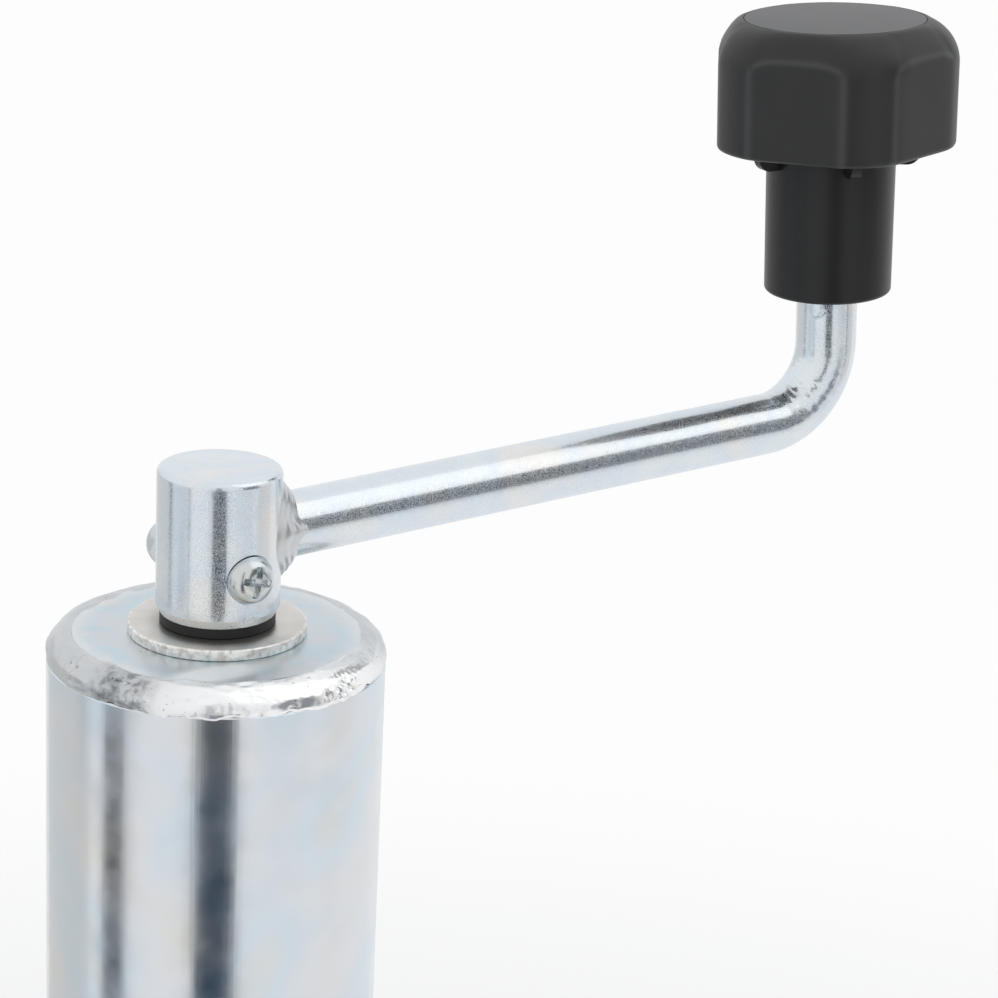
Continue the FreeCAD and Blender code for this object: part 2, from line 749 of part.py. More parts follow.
# Spindle nut: closes the inner tube's top and rides on the screw.
def spindle_nut():
    bore_r = screw_r + TURN_GAP
    return turned(
        (bore_r, nut_foot),
        (inner_bore_r - FIXED_GAP, nut_foot),
        (inner_bore_r - FIXED_GAP, inner_top),
        (inner_r, inner_top),
        (inner_r, inner_top + NUT_FLANGE_T - TUBE_END_CHAMFER),
        (inner_r - TUBE_END_CHAMFER, inner_top + NUT_FLANGE_T),
        (bore_r, inner_top + NUT_FLANGE_T),
    )


# Foot plug: welded into the inner tube's lower end, tapped for the kingpin.
def foot_plug():
    bore_r = KINGPIN_THREAD_D / 2 + FIXED_GAP
    bore_top = plug_foot + KINGPIN_THREAD_L + KINGPIN_END_GAP
    return turned(
        (bore_r, plug_foot),
        (inner_r - TUBE_END_CHAMFER, plug_foot),
        (inner_r, plug_foot + TUBE_END_CHAMFER),
        (inner_r, inner_foot),
        (inner_bore_r - FIXED_GAP, inner_foot),
        (inner_bore_r - FIXED_GAP, inner_foot + PLUG_SPIGOT - PLUG_FLANGE_T),
        (0, inner_foot + PLUG_SPIGOT - PLUG_FLANGE_T),
        (0, bore_top),
        (bore_r, bore_top),
    )


# Kingpin: shouldered bolt up through the fork's plate into the plug.
def kingpin():
    return turned(
        (0, king_head_foot),
        (KINGPIN_HEAD_D / 2 - KINGPIN_HEAD_EDGE, king_head_foot),
        (KINGPIN_HEAD_D / 2, king_head_foot + KINGPIN_HEAD_EDGE),
        (KINGPIN_HEAD_D / 2, king_head_top),
        (KINGPIN_D / 2, king_head_top),
        (KINGPIN_D / 2, plug_foot),
        (KINGPIN_THREAD_D / 2, plug_foot),
        (KINGPIN_THREAD_D / 2, plug_foot + KINGPIN_THREAD_L),
        (0, plug_foot + KINGPIN_THREAD_L),
    )


# Swivel washer between the fork's plate and the plug.
def swivel_washer():
    top = fork_top + SWIVEL_WASHER_T
    return washer(KINGPIN_D / 2 + TURN_GAP, SWIVEL_WASHER_D / 2, fork_top, top)


def tangent_point(outside, centre, radius, side):
    """Where a line from a point touches a circle in the XZ plane, on the side asked for."""
    span = outside - centre
    angle = math.atan2(span.z, span.x) + side * math.acos(radius / span.Length)
    return centre + Vector(radius * math.cos(angle), 0, radius * math.sin(angle))


# Fork: one plate pressed to a U, its legs swept back to the axle.
def fork_yoke():
    bend_out = FORK_BEND_R + FORK_T
    foot = axle_z - FORK_BOSS_R
    outside = section(
        [
            (-fork_side, foot),
            (-fork_side, fork_top, bend_out),
            (fork_side, fork_top, bend_out),
            (fork_side, foot),
            (fork_gap, foot),
            (fork_gap, fork_plate_foot, FORK_BEND_R),
            (-fork_gap, fork_plate_foot, FORK_BEND_R),
            (-fork_gap, foot),
        ]
    )
    length = 2 * (TRAIL + FORK_BOSS_R + FORK_HALF)
    bent = Part.Face(outside).extrude(Vector(0, length, 0))
    bent.translate(Vector(0, -length / 2, 0))
    bent.rotate(Vector(), UP, 90)

    skirt = fork_top - bend_out - FORK_SKIRT
    front, back = Vector(FORK_HALF, 0, skirt), Vector(-FORK_HALF, 0, skirt)
    front_touch = tangent_point(front, axle_centre, FORK_BOSS_R, -1)
    back_touch = tangent_point(back, axle_centre, FORK_BOSS_R, 1)
    lowest = axle_centre - UP * FORK_BOSS_R
    over = fork_top + CUT_OVER
    front_top, back_top = Vector(FORK_HALF, 0, over), Vector(-FORK_HALF, 0, over)
    side = Part.Wire(
        [
            Part.LineSegment(front_top, front).toShape(),
            Part.LineSegment(front, front_touch).toShape(),
            Part.Arc(front_touch, lowest, back_touch).toShape(),
            Part.LineSegment(back_touch, back).toShape(),
            Part.LineSegment(back, back_top).toShape(),
            Part.LineSegment(back_top, front_top).toShape(),
        ]
    )
    width = 4 * fork_side
    blank = Part.Face(side).extrude(Vector(0, width, 0))
    blank.translate(Vector(0, -width / 2, 0))
    yoke = bent.common(blank)
    yoke = yoke.cut(ring(0, KINGPIN_D / 2 + TURN_GAP, fork_plate_foot - CUT_OVER, over))
    across = Vector(0, fork_side + CUT_OVER, 0)
    bore = rod_between(AXLE_D / 2 + FIXED_GAP, axle_centre - across, axle_centre + across)
    return yoke.cut(bore)


# Axle: hexagon bolt through both legs, washers outside them, lock nut towards +Y.
def axle_bolt():
    seat = fork_side + AXLE_WASHER_T
    end = seat + AXLE_NUT_H + AXLE_END
    bolt = hexagon(AXLE_HEAD_AF, AXLE_HEAD_H).fuse(
        turned(
            (0, -seat - end),
            (AXLE_D / 2 - SCREW_CHAMFER, -seat - end),
            (AXLE_D / 2, -seat - end + SCREW_CHAMFER),
            (AXLE_D / 2, 0),
            (0, 0),
        )
    )
    return placed(bolt.removeSplitter(), axle_centre - Vector(0, seat, 0), TO_MINUS_Y)


def axle_nut():
    nut = hexagon(AXLE_HEAD_AF, AXLE_NUT_H)
    nut = nut.cut(Part.makeCylinder(AXLE_D / 2 + FIXED_GAP, AXLE_NUT_H))
    return placed(nut, axle_centre + Vector(0, fork_side + AXLE_WASHER_T, 0), TO_PLUS_Y)


def axle_washers():
    washers = []
    for low in (-fork_side - AXLE_WASHER_T, fork_side):
        plain = washer(AXLE_D / 2 + FIXED_GAP, AXLE_WASHER_D / 2, low, low + AXLE_WASHER_T)
        washers.append(placed(plain, axle_centre, TO_PLUS_Y))
    return Part.makeCompound(washers)


# Tyre: solid rubber, its foot gripped between the rim's lips, ribbed tread.
def tyre():
    seat_r = RIM_SEAT_D / 2 + FIXED_GAP
    lip_r = RIM_SEAT_D / 2 + RIM_LIP
    foot_half = rim_edge - RIM_T - FIXED_GAP
    half = TYRE_WIDTH / 2
    shoulder_r = wheel_r - TREAD_CROWN
    tread = []
    first = -GROOVE_PITCH * (GROOVE_COUNT - 1) / 2
    for i in range(GROOVE_COUNT):
        left = first + i * GROOVE_PITCH - GROOVE_WIDTH / 2
        right = left + GROOVE_WIDTH
        floor = wheel_r - GROOVE_DEPTH
        tread += [(wheel_r, left), (floor, left), (floor, right), (wheel_r, right)]
    shape = turned(
        (seat_r, -foot_half),
        (lip_r + FIXED_GAP, -foot_half),
        (lip_r + half - foot_half, -half, TREAD_SHOULDER_R / 2),
        (shoulder_r, -half, TREAD_SHOULDER_R),
        *tread,
        (shoulder_r, half, TREAD_SHOULDER_R),
        (lip_r + half - foot_half, half, TREAD_SHOULDER_R / 2),
        (lip_r + FIXED_GAP, foot_half),
        (seat_r, foot_half),
    )
    return placed(shape, axle_centre, TO_PLUS_Y)


# Rim: two steel pressings, dished to a collar at the hub and lipped at the tyre.
def rim_half():
    bore_r = HUB_TUBE_D / 2 + FIXED_GAP
    seat_r = RIM_SEAT_D / 2
    dish_r = bore_r + RIM_T + RIM_BEND_R
    flat_r = dish_r + RIM_DISH_WIDTH
    collar_top = RIM_DISH + RIM_T + RIM_COLLAR
    bend_out = RIM_BEND_R + RIM_T
    shape = turned(
        (bore_r, RIM_DISH),
        (dish_r, RIM_DISH, RIM_BEND_R),
        (flat_r, 0, bend_out),
        (seat_r, 0, bend_out),
        (seat_r, rim_edge - RIM_T),
        (seat_r + RIM_LIP, rim_edge - RIM_T),
        (seat_r + RIM_LIP, rim_edge, RIM_LIP_ROUND),
        (seat_r - RIM_T, rim_edge, RIM_BEND_R),
        (seat_r - RIM_T, RIM_T, RIM_BEND_R),
        (flat_r + RIM_T / 2, RIM_T, RIM_BEND_R),
        (dish_r + RIM_T / 2, RIM_DISH + RIM_T, bend_out),
        (bore_r + RIM_T, RIM_DISH + RIM_T),
        (bore_r + RIM_T, collar_top),
        (bore_r, collar_top),
    )
    hole_r = RIM_BOLT_D / 2 + FIXED_GAP
    holes = [
        rod_between(hole_r, place - UP * CUT_OVER, place + UP * (RIM_T + CUT_OVER))
        for place in rim_bolt_places()
    ]
    return shape.cut(Part.makeCompound(holes))


def rim_bolt_places():
    for i in range(RIM_BOLT_COUNT):
        a = 2 * math.pi * i / RIM_BOLT_COUNT
        yield Vector(RIM_BOLT_PCD / 2 * math.cos(a), RIM_BOLT_PCD / 2 * math.sin(a), 0)


def rim_half_left():
    return placed(rim_half(), axle_centre, TO_MINUS_Y)


def rim_half_right():
    return placed(rim_half(), axle_centre, TO_PLUS_Y)


# Bolts and nuts that hold the two rim halves together.
def rim_bolts():
    pieces = []
    for place in rim_bolt_places():
        end = 2 * RIM_T + RIM_NUT_H + RIM_BOLT_END
        bolt = hexagon(RIM_BOLT_AF, RIM_BOLT_HEAD_H, chamfered=False).fuse(
            Part.makeCylinder(RIM_BOLT_D / 2, end, Vector(), -UP)
        )
        nut = hexagon(RIM_BOLT_AF, RIM_NUT_H, chamfered=False)
        nut = nut.cut(Part.makeCylinder(RIM_BOLT_D / 2 + FIXED_GAP, RIM_NUT_H))
        bolt.translate(place + UP * RIM_T)
        nut.translate(place - UP * (RIM_T + RIM_NUT_H))
        pieces += [bolt.removeSplitter(), nut]
    return placed(Part.makeCompound(pieces), axle_centre, TO_PLUS_Y)


def wheel_hub_tube():
    tube = ring(
        HUB_TUBE_D / 2 - HUB_TUBE_WALL, HUB_TUBE_D / 2, -hub_tube_half, hub_tube_half
    )
    return placed(tube, axle_centre, TO_PLUS_Y)


# Hub bushes: flanged, pressed into the hub tube's ends, running on the axle.
def hub_bush(turn):
    bore_r = AXLE_D / 2 + TURN_GAP
    outer_r = HUB_TUBE_D / 2 - HUB_TUBE_WALL - FIXED_GAP
    end = hub_tube_half + HUB_BUSH_FLANGE_T
    bush = turned(
        (bore_r, hub_tube_half - HUB_BUSH_L),
        (outer_r, hub_tube_half - HUB_BUSH_L),
        (outer_r, hub_tube_half),
        (HUB_TUBE_D / 2, hub_tube_half),
        (HUB_TUBE_D / 2, end - WASHER_EDGE),
        (HUB_TUBE_D / 2 - WASHER_EDGE, end),
        (bore_r, end),
    )
    return placed(bush, axle_centre, turn)


def hub_bush_left():
    return hub_bush(TO_MINUS_Y)


def hub_bush_right():
    return hub_bush(TO_PLUS_Y)


PIECES = [
    outer_tube, top_plate, rim_weld_bead, top_bush, top_washer, guide_pin,
    bearing_upper_race, bearing_lower_race, bearing_balls, bearing_cage,
    spindle, spindle_collar, collar_pin, spindle_end_pin,
    crank_hub, hub_spacer_ring, cross_screw, cross_nut, crank_rod, arm_weld_fillet,
    knob_retainer, knob_sleeve, knob_head, knob_cap,
    inner_tube, spindle_nut, foot_plug, kingpin,
    fork_yoke, swivel_washer, axle_bolt, axle_nut, axle_washers,
    tyre, rim_half_left, rim_half_right, rim_bolts, wheel_hub_tube,
    hub_bush_left, hub_bush_right,
]

os.makedirs("parts", exist_ok=True)
for piece in PIECES:
    shape = piece()
    shape.exportStep(f"parts/{piece.__name__}.step")
    print(f"{piece.__name__}: {len(shape.Solids)} solids, {shape.Volume:.0f} mm3, valid {shape.isValid()}")
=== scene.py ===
import math

import bmesh
import bpy
import numpy as np
from mathutils import Matrix, Vector


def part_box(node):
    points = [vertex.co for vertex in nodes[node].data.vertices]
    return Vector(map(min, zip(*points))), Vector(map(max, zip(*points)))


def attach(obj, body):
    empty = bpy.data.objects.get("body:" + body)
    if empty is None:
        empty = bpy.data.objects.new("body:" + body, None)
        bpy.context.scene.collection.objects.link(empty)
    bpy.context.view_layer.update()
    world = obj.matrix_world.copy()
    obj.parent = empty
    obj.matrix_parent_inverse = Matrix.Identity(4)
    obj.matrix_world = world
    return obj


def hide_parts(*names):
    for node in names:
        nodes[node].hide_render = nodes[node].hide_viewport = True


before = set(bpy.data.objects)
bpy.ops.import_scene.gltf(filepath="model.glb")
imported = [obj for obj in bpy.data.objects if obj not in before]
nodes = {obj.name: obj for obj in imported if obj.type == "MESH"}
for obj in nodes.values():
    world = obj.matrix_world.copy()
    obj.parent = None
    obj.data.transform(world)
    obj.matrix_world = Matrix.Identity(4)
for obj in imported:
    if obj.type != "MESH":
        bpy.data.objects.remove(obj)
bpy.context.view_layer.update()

# OUTER TUBE
# Drawn steel tube, bright zinc plated and passivated a faint blue. It is the solid of the
# frame as it stands. Its helpers, which the later pieces use too, are defined here.
MM = 0.001
tube_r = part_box("outer_tube")[1].x
# Real drawing lines are a tenth or two of a millimetre apart, and are drawn coarser so that
# they show. They change this much slower along the tube, and are this deep for their spacing.
LINE_ALONG = 0.02
LINE_DEPTH = 0.01
# Where the noise of the frost turns into a fleck, and how much rougher a fleck is.
FROST_EDGE = (0.44, 0.56)
FROST_ROUGHER = 0.3


def linear(colour):
    """Linear RGB and alpha of an sRGB hex colour, by the sRGB curve."""
    parts = [int(colour[i:i + 2], 16) / 255 for i in (1, 3, 5)]
    return [p / 12.92 if p < 0.04045 else ((p + 0.055) / 1.055) ** 2.4 for p in parts] + [1.0]


def add_node(tree, kind, inputs=None, **settings):
    """Adds a node. An input is a value, or the socket that is linked to it."""
    node = tree.nodes.new(kind)
    for name, value in settings.items():
        setattr(node, name, value)
    for name, value in (inputs or {}).items():
        if isinstance(value, bpy.types.NodeSocket):
            tree.links.new(value, node.inputs[name])
        else:
            node.inputs[name].default_value = value
    return node


def start_material(name):
    """An empty material with its shader, and the piece's own coordinates in metres."""
    material = bpy.data.materials.new(name)
    material.use_nodes = True
    tree = material.node_tree
    shader = tree.nodes["Principled BSDF"]
    place = tree.nodes.new("ShaderNodeTexCoord").outputs["Object"]
    return material, tree, shader, place


def zinc_plate(name, tints, cloud, roughness, swell, swell_height, grain=None, frost=None):
    """Zinc-plated steel: bright metal whose passivation film tints it in clouds of about
    cloud metres. swell is the length of its slight waves, grain the spacing of drawing
    lines along Z, and frost the size of the matt flecks that haze what it mirrors."""
    material, tree, shader, place = start_material(name)
    clouds = add_node(
        tree, "ShaderNodeTexNoise", {"Vector": place, "Scale": 1 / cloud, "Detail": 2.0}
    )
    ramp = add_node(tree, "ShaderNodeValToRGB", {"Fac": clouds.outputs["Fac"]})
    stops = ramp.color_ramp.elements
    while len(stops) < len(tints):
        stops.new(0.5)
    for i, tint in enumerate(tints):
        stops[i].position = 0.3 + 0.4 * i / (len(tints) - 1)
        stops[i].color = linear(tint)
    waves = add_node(
        tree, "ShaderNodeTexNoise", {"Vector": place, "Scale": 1 / swell, "Detail": 3.0}
    )
    dull = add_node(
        tree, "ShaderNodeMapRange",
        {"Value": waves.outputs["Fac"], "From Min": 0.3, "From Max": 0.7,
         "To Min": roughness * 0.8, "To Max": roughness * 1.3},
    )
    dullness = dull.outputs["Result"]
    if frost:
        flecks = add_node(
            tree, "ShaderNodeTexNoise", {"Vector": place, "Scale": 1 / frost, "Detail": 1.0}
        )
        fleck = add_node(
            tree, "ShaderNodeMapRange",
            {"Value": flecks.outputs["Fac"], "From Min": FROST_EDGE[0],
             "From Max": FROST_EDGE[1]},
        )
        frosted = add_node(
            tree, "ShaderNodeMath",
            {0: fleck.outputs["Result"], 1: FROST_ROUGHER, 2: dullness},
            operation="MULTIPLY_ADD",
        )
        dullness = frosted.outputs[0]
    bump = add_node(
        tree, "ShaderNodeBump",
        {"Height": waves.outputs["Fac"], "Distance": swell_height, "Strength": 1.0},
    )
    if grain:
        stretched = add_node(
            tree, "ShaderNodeMapping",
            {"Vector": place, "Scale": (1 / grain, 1 / grain, LINE_ALONG / grain)},
        )
        lines = add_node(
            tree, "ShaderNodeTexNoise",
            {"Vector": stretched.outputs[0], "Scale": 1.0, "Detail": 2.0},
        )
        bump = add_node(
            tree, "ShaderNodeBump",
            {"Height": lines.outputs["Fac"], "Distance": grain * LINE_DEPTH,
             "Normal": bump.outputs[0]},
        )
    tree.links.new(ramp.outputs["Color"], shader.inputs["Base Color"])
    tree.links.new(dullness, shader.inputs["Roughness"])
    tree.links.new(bump.outputs[0], shader.inputs["Normal"])
    shader.inputs["Metallic"].default_value = 1.0
    return material


def dress(node, material):
    """Gives a solid of the frame its finish."""
    nodes[node].data.materials.clear()
    nodes[node].data.materials.append(material)


tube_zinc = zinc_plate(
    "zinc_plated_drawn_tube", ["#e0e0de", "#d7e1e7", "#e1e2e4", "#e1e0da"],
    cloud=26 * MM, roughness=0.2, swell=7 * MM, swell_height=0.02 * MM, grain=0.9 * MM,
)
dress("outer_tube", tube_zinc)

# TOP PLATE
# Turned steel disc welded into the tube's end, satin zinc whose passivation is bluer and
# pinker in soft clouds. Its bush is sintered bronze, pressed in and hidden by the washer.
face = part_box("top_plate")[1].z
# The sockets of a colour mix, which share their names with those of its other kinds.
MIX_A, MIX_B, MIXED = 6, 7, 2
PLATE_ROUGH = 0.28
plate_zinc = zinc_plate(
    "zinc_plated_turned_plate", ["#dcd6d3", "#c6d8e0", "#d3d7da", "#c3d6de"],
    cloud=14 * MM, roughness=PLATE_ROUGH, swell=5 * MM, swell_height=0.03 * MM,
)
tree = plate_zinc.node_tree
shader = tree.nodes["Principled BSDF"]
flat_place = add_node(
    tree, "ShaderNodeVectorMath",
    {0: tree.nodes["Texture Coordinate"].outputs["Object"], 1: (1, 1, 0)},
    operation="MULTIPLY",
)

# The weld's heat bleached the film near the rim, in a ragged ring.
SCORCH_BEGINS, SCORCH_FULL = 23.5 * MM, 28 * MM
SCORCH_WANDER = 4 * MM
out = add_node(tree, "ShaderNodeVectorMath", {0: flat_place.outputs[0]}, operation="LENGTH")
ragged = add_node(
    tree, "ShaderNodeTexNoise",
    {"Vector": flat_place.outputs[0], "Scale": 1 / (4 * MM), "Detail": 3.0},
)
wandering = add_node(
    tree, "ShaderNodeMath",
    {0: ragged.outputs["Fac"], 1: SCORCH_WANDER, 2: out.outputs["Value"]},
    operation="MULTIPLY_ADD",
)
scorch = add_node(
    tree, "ShaderNodeMapRange",
    {"Value": wandering.outputs[0], "From Min": SCORCH_BEGINS, "From Max": SCORCH_FULL,
     "To Max": 0.85},
    interpolation_type="SMOOTHSTEP",
)
bleached = add_node(
    tree, "ShaderNodeMix",
    {"Factor": scorch.outputs["Result"], MIX_B: linear("#e3e4e5"),
     MIX_A: shader.inputs["Base Color"].links[0].from_socket},
    data_type="RGBA",
)

# In front of the washer the plate is matt in an oval, with its colour whitened there as a
# painted highlight.
GLINT_PLACE = (-9.8 * MM, -19.2 * MM, 0)
GLINT_FLATTENED = (0.42, 1, 0)
GLINT_OUTER, GLINT_INNER = 5.2 * MM, 1.0 * MM
GLINT_ROUGH = 0.62
from_glint = add_node(
    tree, "ShaderNodeVectorMath", {0: flat_place.outputs[0], 1: GLINT_PLACE}, operation="SUBTRACT"
)
flattened = add_node(
    tree, "ShaderNodeVectorMath", {0: from_glint.outputs[0], 1: GLINT_FLATTENED},
    operation="MULTIPLY",
)
away = add_node(tree, "ShaderNodeVectorMath", {0: flattened.outputs[0]}, operation="LENGTH")
glint_marks = add_node(
    tree, "ShaderNodeMapRange",
    {"Value": away.outputs["Value"], "From Min": GLINT_OUTER, "From Max": GLINT_INNER,
     "To Min": PLATE_ROUGH, "To Max": GLINT_ROUGH},
    interpolation_type="SMOOTHSTEP",
)
# Painted highlight: inside the matt oval the colour goes nearly white.
glint_share = add_node(
    tree, "ShaderNodeMapRange",
    {"Value": glint_marks.outputs["Result"], "From Min": 0.29, "From Max": 0.5, "To Max": 0.9},
)
glinted = add_node(
    tree, "ShaderNodeMix",
    {"Factor": glint_share.outputs["Result"], MIX_A: bleached.outputs[MIXED],
     MIX_B: linear("#fafeff")},
    data_type="RGBA",
)
tree.links.new(glint_marks.outputs["Result"], shader.inputs["Roughness"])
tree.links.new(glinted.outputs[MIXED], shader.inputs["Base Color"])
dress("top_plate", plate_zinc)

# Sintered bronze: dull brown metal with fine pores, drawn coarser than the real ones, which
# are under a tenth of a millimetre.
bronze, tree, shader, place = start_material("sintered_bronze")
pores = add_node(
    tree, "ShaderNodeTexNoise", {"Vector": place, "Scale": 1 / (0.4 * MM), "Detail": 2.0}
)
tones = add_node(
    tree, "ShaderNodeMix",
    {"Factor": pores.outputs["Fac"], MIX_A: linear("#8a6a3c"), MIX_B: linear("#b08c55")},
    data_type="RGBA",
)
tree.links.new(tones.outputs[MIXED], shader.inputs["Base Color"])
shader.inputs["Metallic"].default_value = 1.0
shader.inputs["Roughness"].default_value = 0.42
for node in ("top_bush", "bearing_cage"):
    dress(node, bronze)

# RIM WELD
# One run of arc weld round the plate, zinc plated with the tube. It lies broad and flat,
# its ripples washed smooth, with pitted spots where the run was broken off and taken up.
BEAD_WIDTH = 5.2 * MM
BEAD_DROP = 5.1 * MM
BEAD_ROUND = 4.3 * MM
BEAD_PROUD = 0.1 * MM
BEAD_SINK = 0.2 * MM
BEAD_INWARD_MOST = 0.75 * MM
RIPPLE = 2.2 * MM
# Where the run was taken up again: degrees round, share across, degrees wide.
BROKEN_SPOTS = ((-177, 0.45, 6), (-152, 0.45, 9), (-69, 0.72, 8), (50, 0.4, 7))


def lattice_noise(u, v, columns, seed):
    """Smooth noise from -1 to 1 on whole arrays: random heights on a square lattice, which
    repeats after so many columns, blended between its corners by 3t^2 - 2t^3."""
    heights = np.random.default_rng(seed).uniform(-1, 1, (columns, 64))
    u0, v0 = np.floor(u).astype(int), np.floor(v).astype(int)
    du, dv = u - u0, v - v0
    du, dv = du * du * (3 - 2 * du), dv * dv * (3 - 2 * dv)
    near, far = u0 % columns, (u0 + 1) % columns
    low, high = v0 % 64, (v0 + 1) % 64
    below = heights[near, low] * (1 - du) + heights[far, low] * du
    above = heights[near, high] * (1 - du) + heights[far, high] * du
    return below * (1 - dv) + above * dv


def surface(name, points, material, body, node, closed=(True, False), sharp=40):
    """Piece from a grid of points, rows by columns, that stands for a node of the frame.
    closed says whether the columns and the rows join up with their first. Seams are merged,
    rows that meet in a point become a pole, and the faces are turned outwards. Edges that
    turn by more than sharp degrees stay sharp."""
    rows, columns = points.shape[:2]
    index = np.arange(rows * columns).reshape(rows, columns)
    if closed[0]:
        index = np.concatenate([index, index[:, :1]], 1)
    if closed[1]:
        index = np.concatenate([index, index[:1]], 0)
    corners = [index[:-1, :-1], index[:-1, 1:], index[1:, 1:], index[1:, :-1]]
    mesh = bpy.data.meshes.new(name)
    mesh.from_pydata(points.reshape(-1, 3), [], np.stack(corners, -1).reshape(-1, 4))
    work = bmesh.new()
    work.from_mesh(mesh)
    bmesh.ops.remove_doubles(work, verts=work.verts, dist=0.002 * MM)
    bmesh.ops.recalc_face_normals(work, faces=work.faces)
    work.to_mesh(mesh)
    work.free()
    mesh.shade_smooth()
    mesh.set_sharp_from_angle(angle=math.radians(sharp))
    mesh.materials.append(material)
    piece = bpy.data.objects.new(name, mesh)
    bpy.context.scene.collection.objects.link(piece)
    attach(piece, body)
    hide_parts(node)
    return piece


def around(count):
    """Angles once round, as one row."""
    return np.linspace(0, 2 * np.pi, count, endpoint=False)[None, :]


def bead_points(steps=1000, across=44):
    """Grid round the rim. Across the bead, t runs 0 to 1 from the edge on the plate over a
    quarter round of radius BEAD_ROUND and down the tube. The surface stands out along its own
    normal by crescent ripples every RIPPLE, by long swells that lie along the run and by pits,
    all fading to a thin edge that wanders in and out."""
    a = around(steps)
    turns = a / (2 * np.pi)
    flat = BEAD_WIDTH - BEAD_ROUND
    arc = BEAD_ROUND * math.pi / 2
    wall = BEAD_DROP - BEAD_ROUND
    length = flat + arc + wall
    t = np.linspace(0, 1, across)[:, None]
    wander_in = 0.8 * MM * lattice_noise(turns * 15, 0 * a, 15, 11)
    wander_in = wander_in + 0.5 * MM * lattice_noise(turns * 60, 0 * a, 60, 12)
    wander_in = np.minimum(wander_in, BEAD_INWARD_MOST)
    wander_out = 0.5 * MM * lattice_noise(turns * 40, 0 * a, 40, 13)
    wander_out = wander_out + 0.45 * MM * lattice_noise(turns * 130, 0 * a, 130, 14)
    s = t * length + (1 - t) ** 3 * wander_in + t**3 * wander_out
    turn = np.clip((s - flat) / BEAD_ROUND, 0, math.pi / 2)
    out, up = np.sin(turn), np.cos(turn)
    r = tube_r - BEAD_ROUND + BEAD_ROUND * out + np.minimum(s - flat, 0)
    z = face - BEAD_ROUND + BEAD_ROUND * up - np.maximum(s - flat - arc, 0)
    edge = np.clip(np.minimum(t, 1 - t) / 0.12, 0, 1)
    edge = edge * edge * (3 - 2 * edge)
    run = a * tube_r / RIPPLE + 1.4 * (2 * t - 1) ** 2
    run = run + 0.5 * lattice_noise(turns * 30, t * 2, 30, 19)
    crest = np.abs(np.sin(np.pi * run)) ** 0.8 - 0.6
    strength = np.clip(lattice_noise(turns * 9, t * 2, 9, 15), 0, 1)
    broad = lattice_noise(turns * 34, t * 4, 34, 16)
    strands = lattice_noise(turns * 48, t * 9, 48, 17)
    fine = lattice_noise(turns * 260, t * 16, 260, 20)
    raised = (0.05 * crest * strength + 0.13 * broad + 0.15 * strands + 0.028 * fine) * MM
    pitted = np.clip(lattice_noise(turns * 330, t * 14, 330, 18) - 0.15, 0, 1)
    lumpy = lattice_noise(turns * 150, t * 7, 150, 21)
    raised = raised - broken_share(a, t) * (0.7 * pitted - 0.22 * lumpy) * MM
    height = edge * (BEAD_PROUD + raised) - (1 - edge) * BEAD_SINK
    r, z = r + out * height, z + up * height
    return np.stack([r * np.cos(a), r * np.sin(a), z], -1)


def broken_share(a, t):
    """From 0 to 1, how much a point lies in one of the broken spots, each a bell curve."""
    share = np.zeros(np.broadcast(a, t).shape)
    for degrees, across, spread in BROKEN_SPOTS:
        gap = (a - math.radians(degrees) + np.pi) % (2 * np.pi) - np.pi
        bell = -(gap / math.radians(spread)) ** 2 - ((t - across) / 0.2) ** 2
        share = np.maximum(share, np.exp(bell))
    return share


# Plated weld: the zinc is thick and silky on it, with grit under it; its colour is whitened
# towards the front as a painted highlight.
weld_zinc, tree, shader, place = start_material("zinc_plated_weld")
patches = add_node(
    tree, "ShaderNodeTexNoise", {"Vector": place, "Scale": 1 / (5 * MM), "Detail": 3.0}
)
tones = add_node(
    tree, "ShaderNodeMix",
    {"Factor": patches.outputs["Fac"], MIX_A: linear("#c5c9cc"), MIX_B: linear("#d9d9d8")},
    data_type="RGBA",
)
apart = add_node(tree, "ShaderNodeSeparateXYZ", {"Vector": place})
# Painted highlight: the colour goes nearly white towards the front, the -Y side.
front_highlight_share = add_node(
    tree, "ShaderNodeMapRange",
    {"Value": apart.outputs["Y"], "From Min": -12 * MM, "From Max": -26 * MM},
    interpolation_type="SMOOTHSTEP",
)
front_highlighted = add_node(
    tree, "ShaderNodeMix",
    {"Factor": front_highlight_share.outputs["Result"], MIX_A: tones.outputs[MIXED],
     MIX_B: linear("#fcfcfb")},
    data_type="RGBA",
)
grit = add_node(
    tree, "ShaderNodeTexNoise", {"Vector": place, "Scale": 1 / (0.7 * MM), "Detail": 4.0}
)
specks = add_node(
    tree, "ShaderNodeMapRange",
    {"Value": grit.outputs["Fac"], "From Min": 0.67, "From Max": 0.73, "To Max": 0.85},
)
specked = add_node(
    tree, "ShaderNodeMix",
    {"Factor": specks.outputs["Result"], MIX_A: front_highlighted.outputs[MIXED],
     MIX_B: linear("#8f8f8e")},
    data_type="RGBA",
)

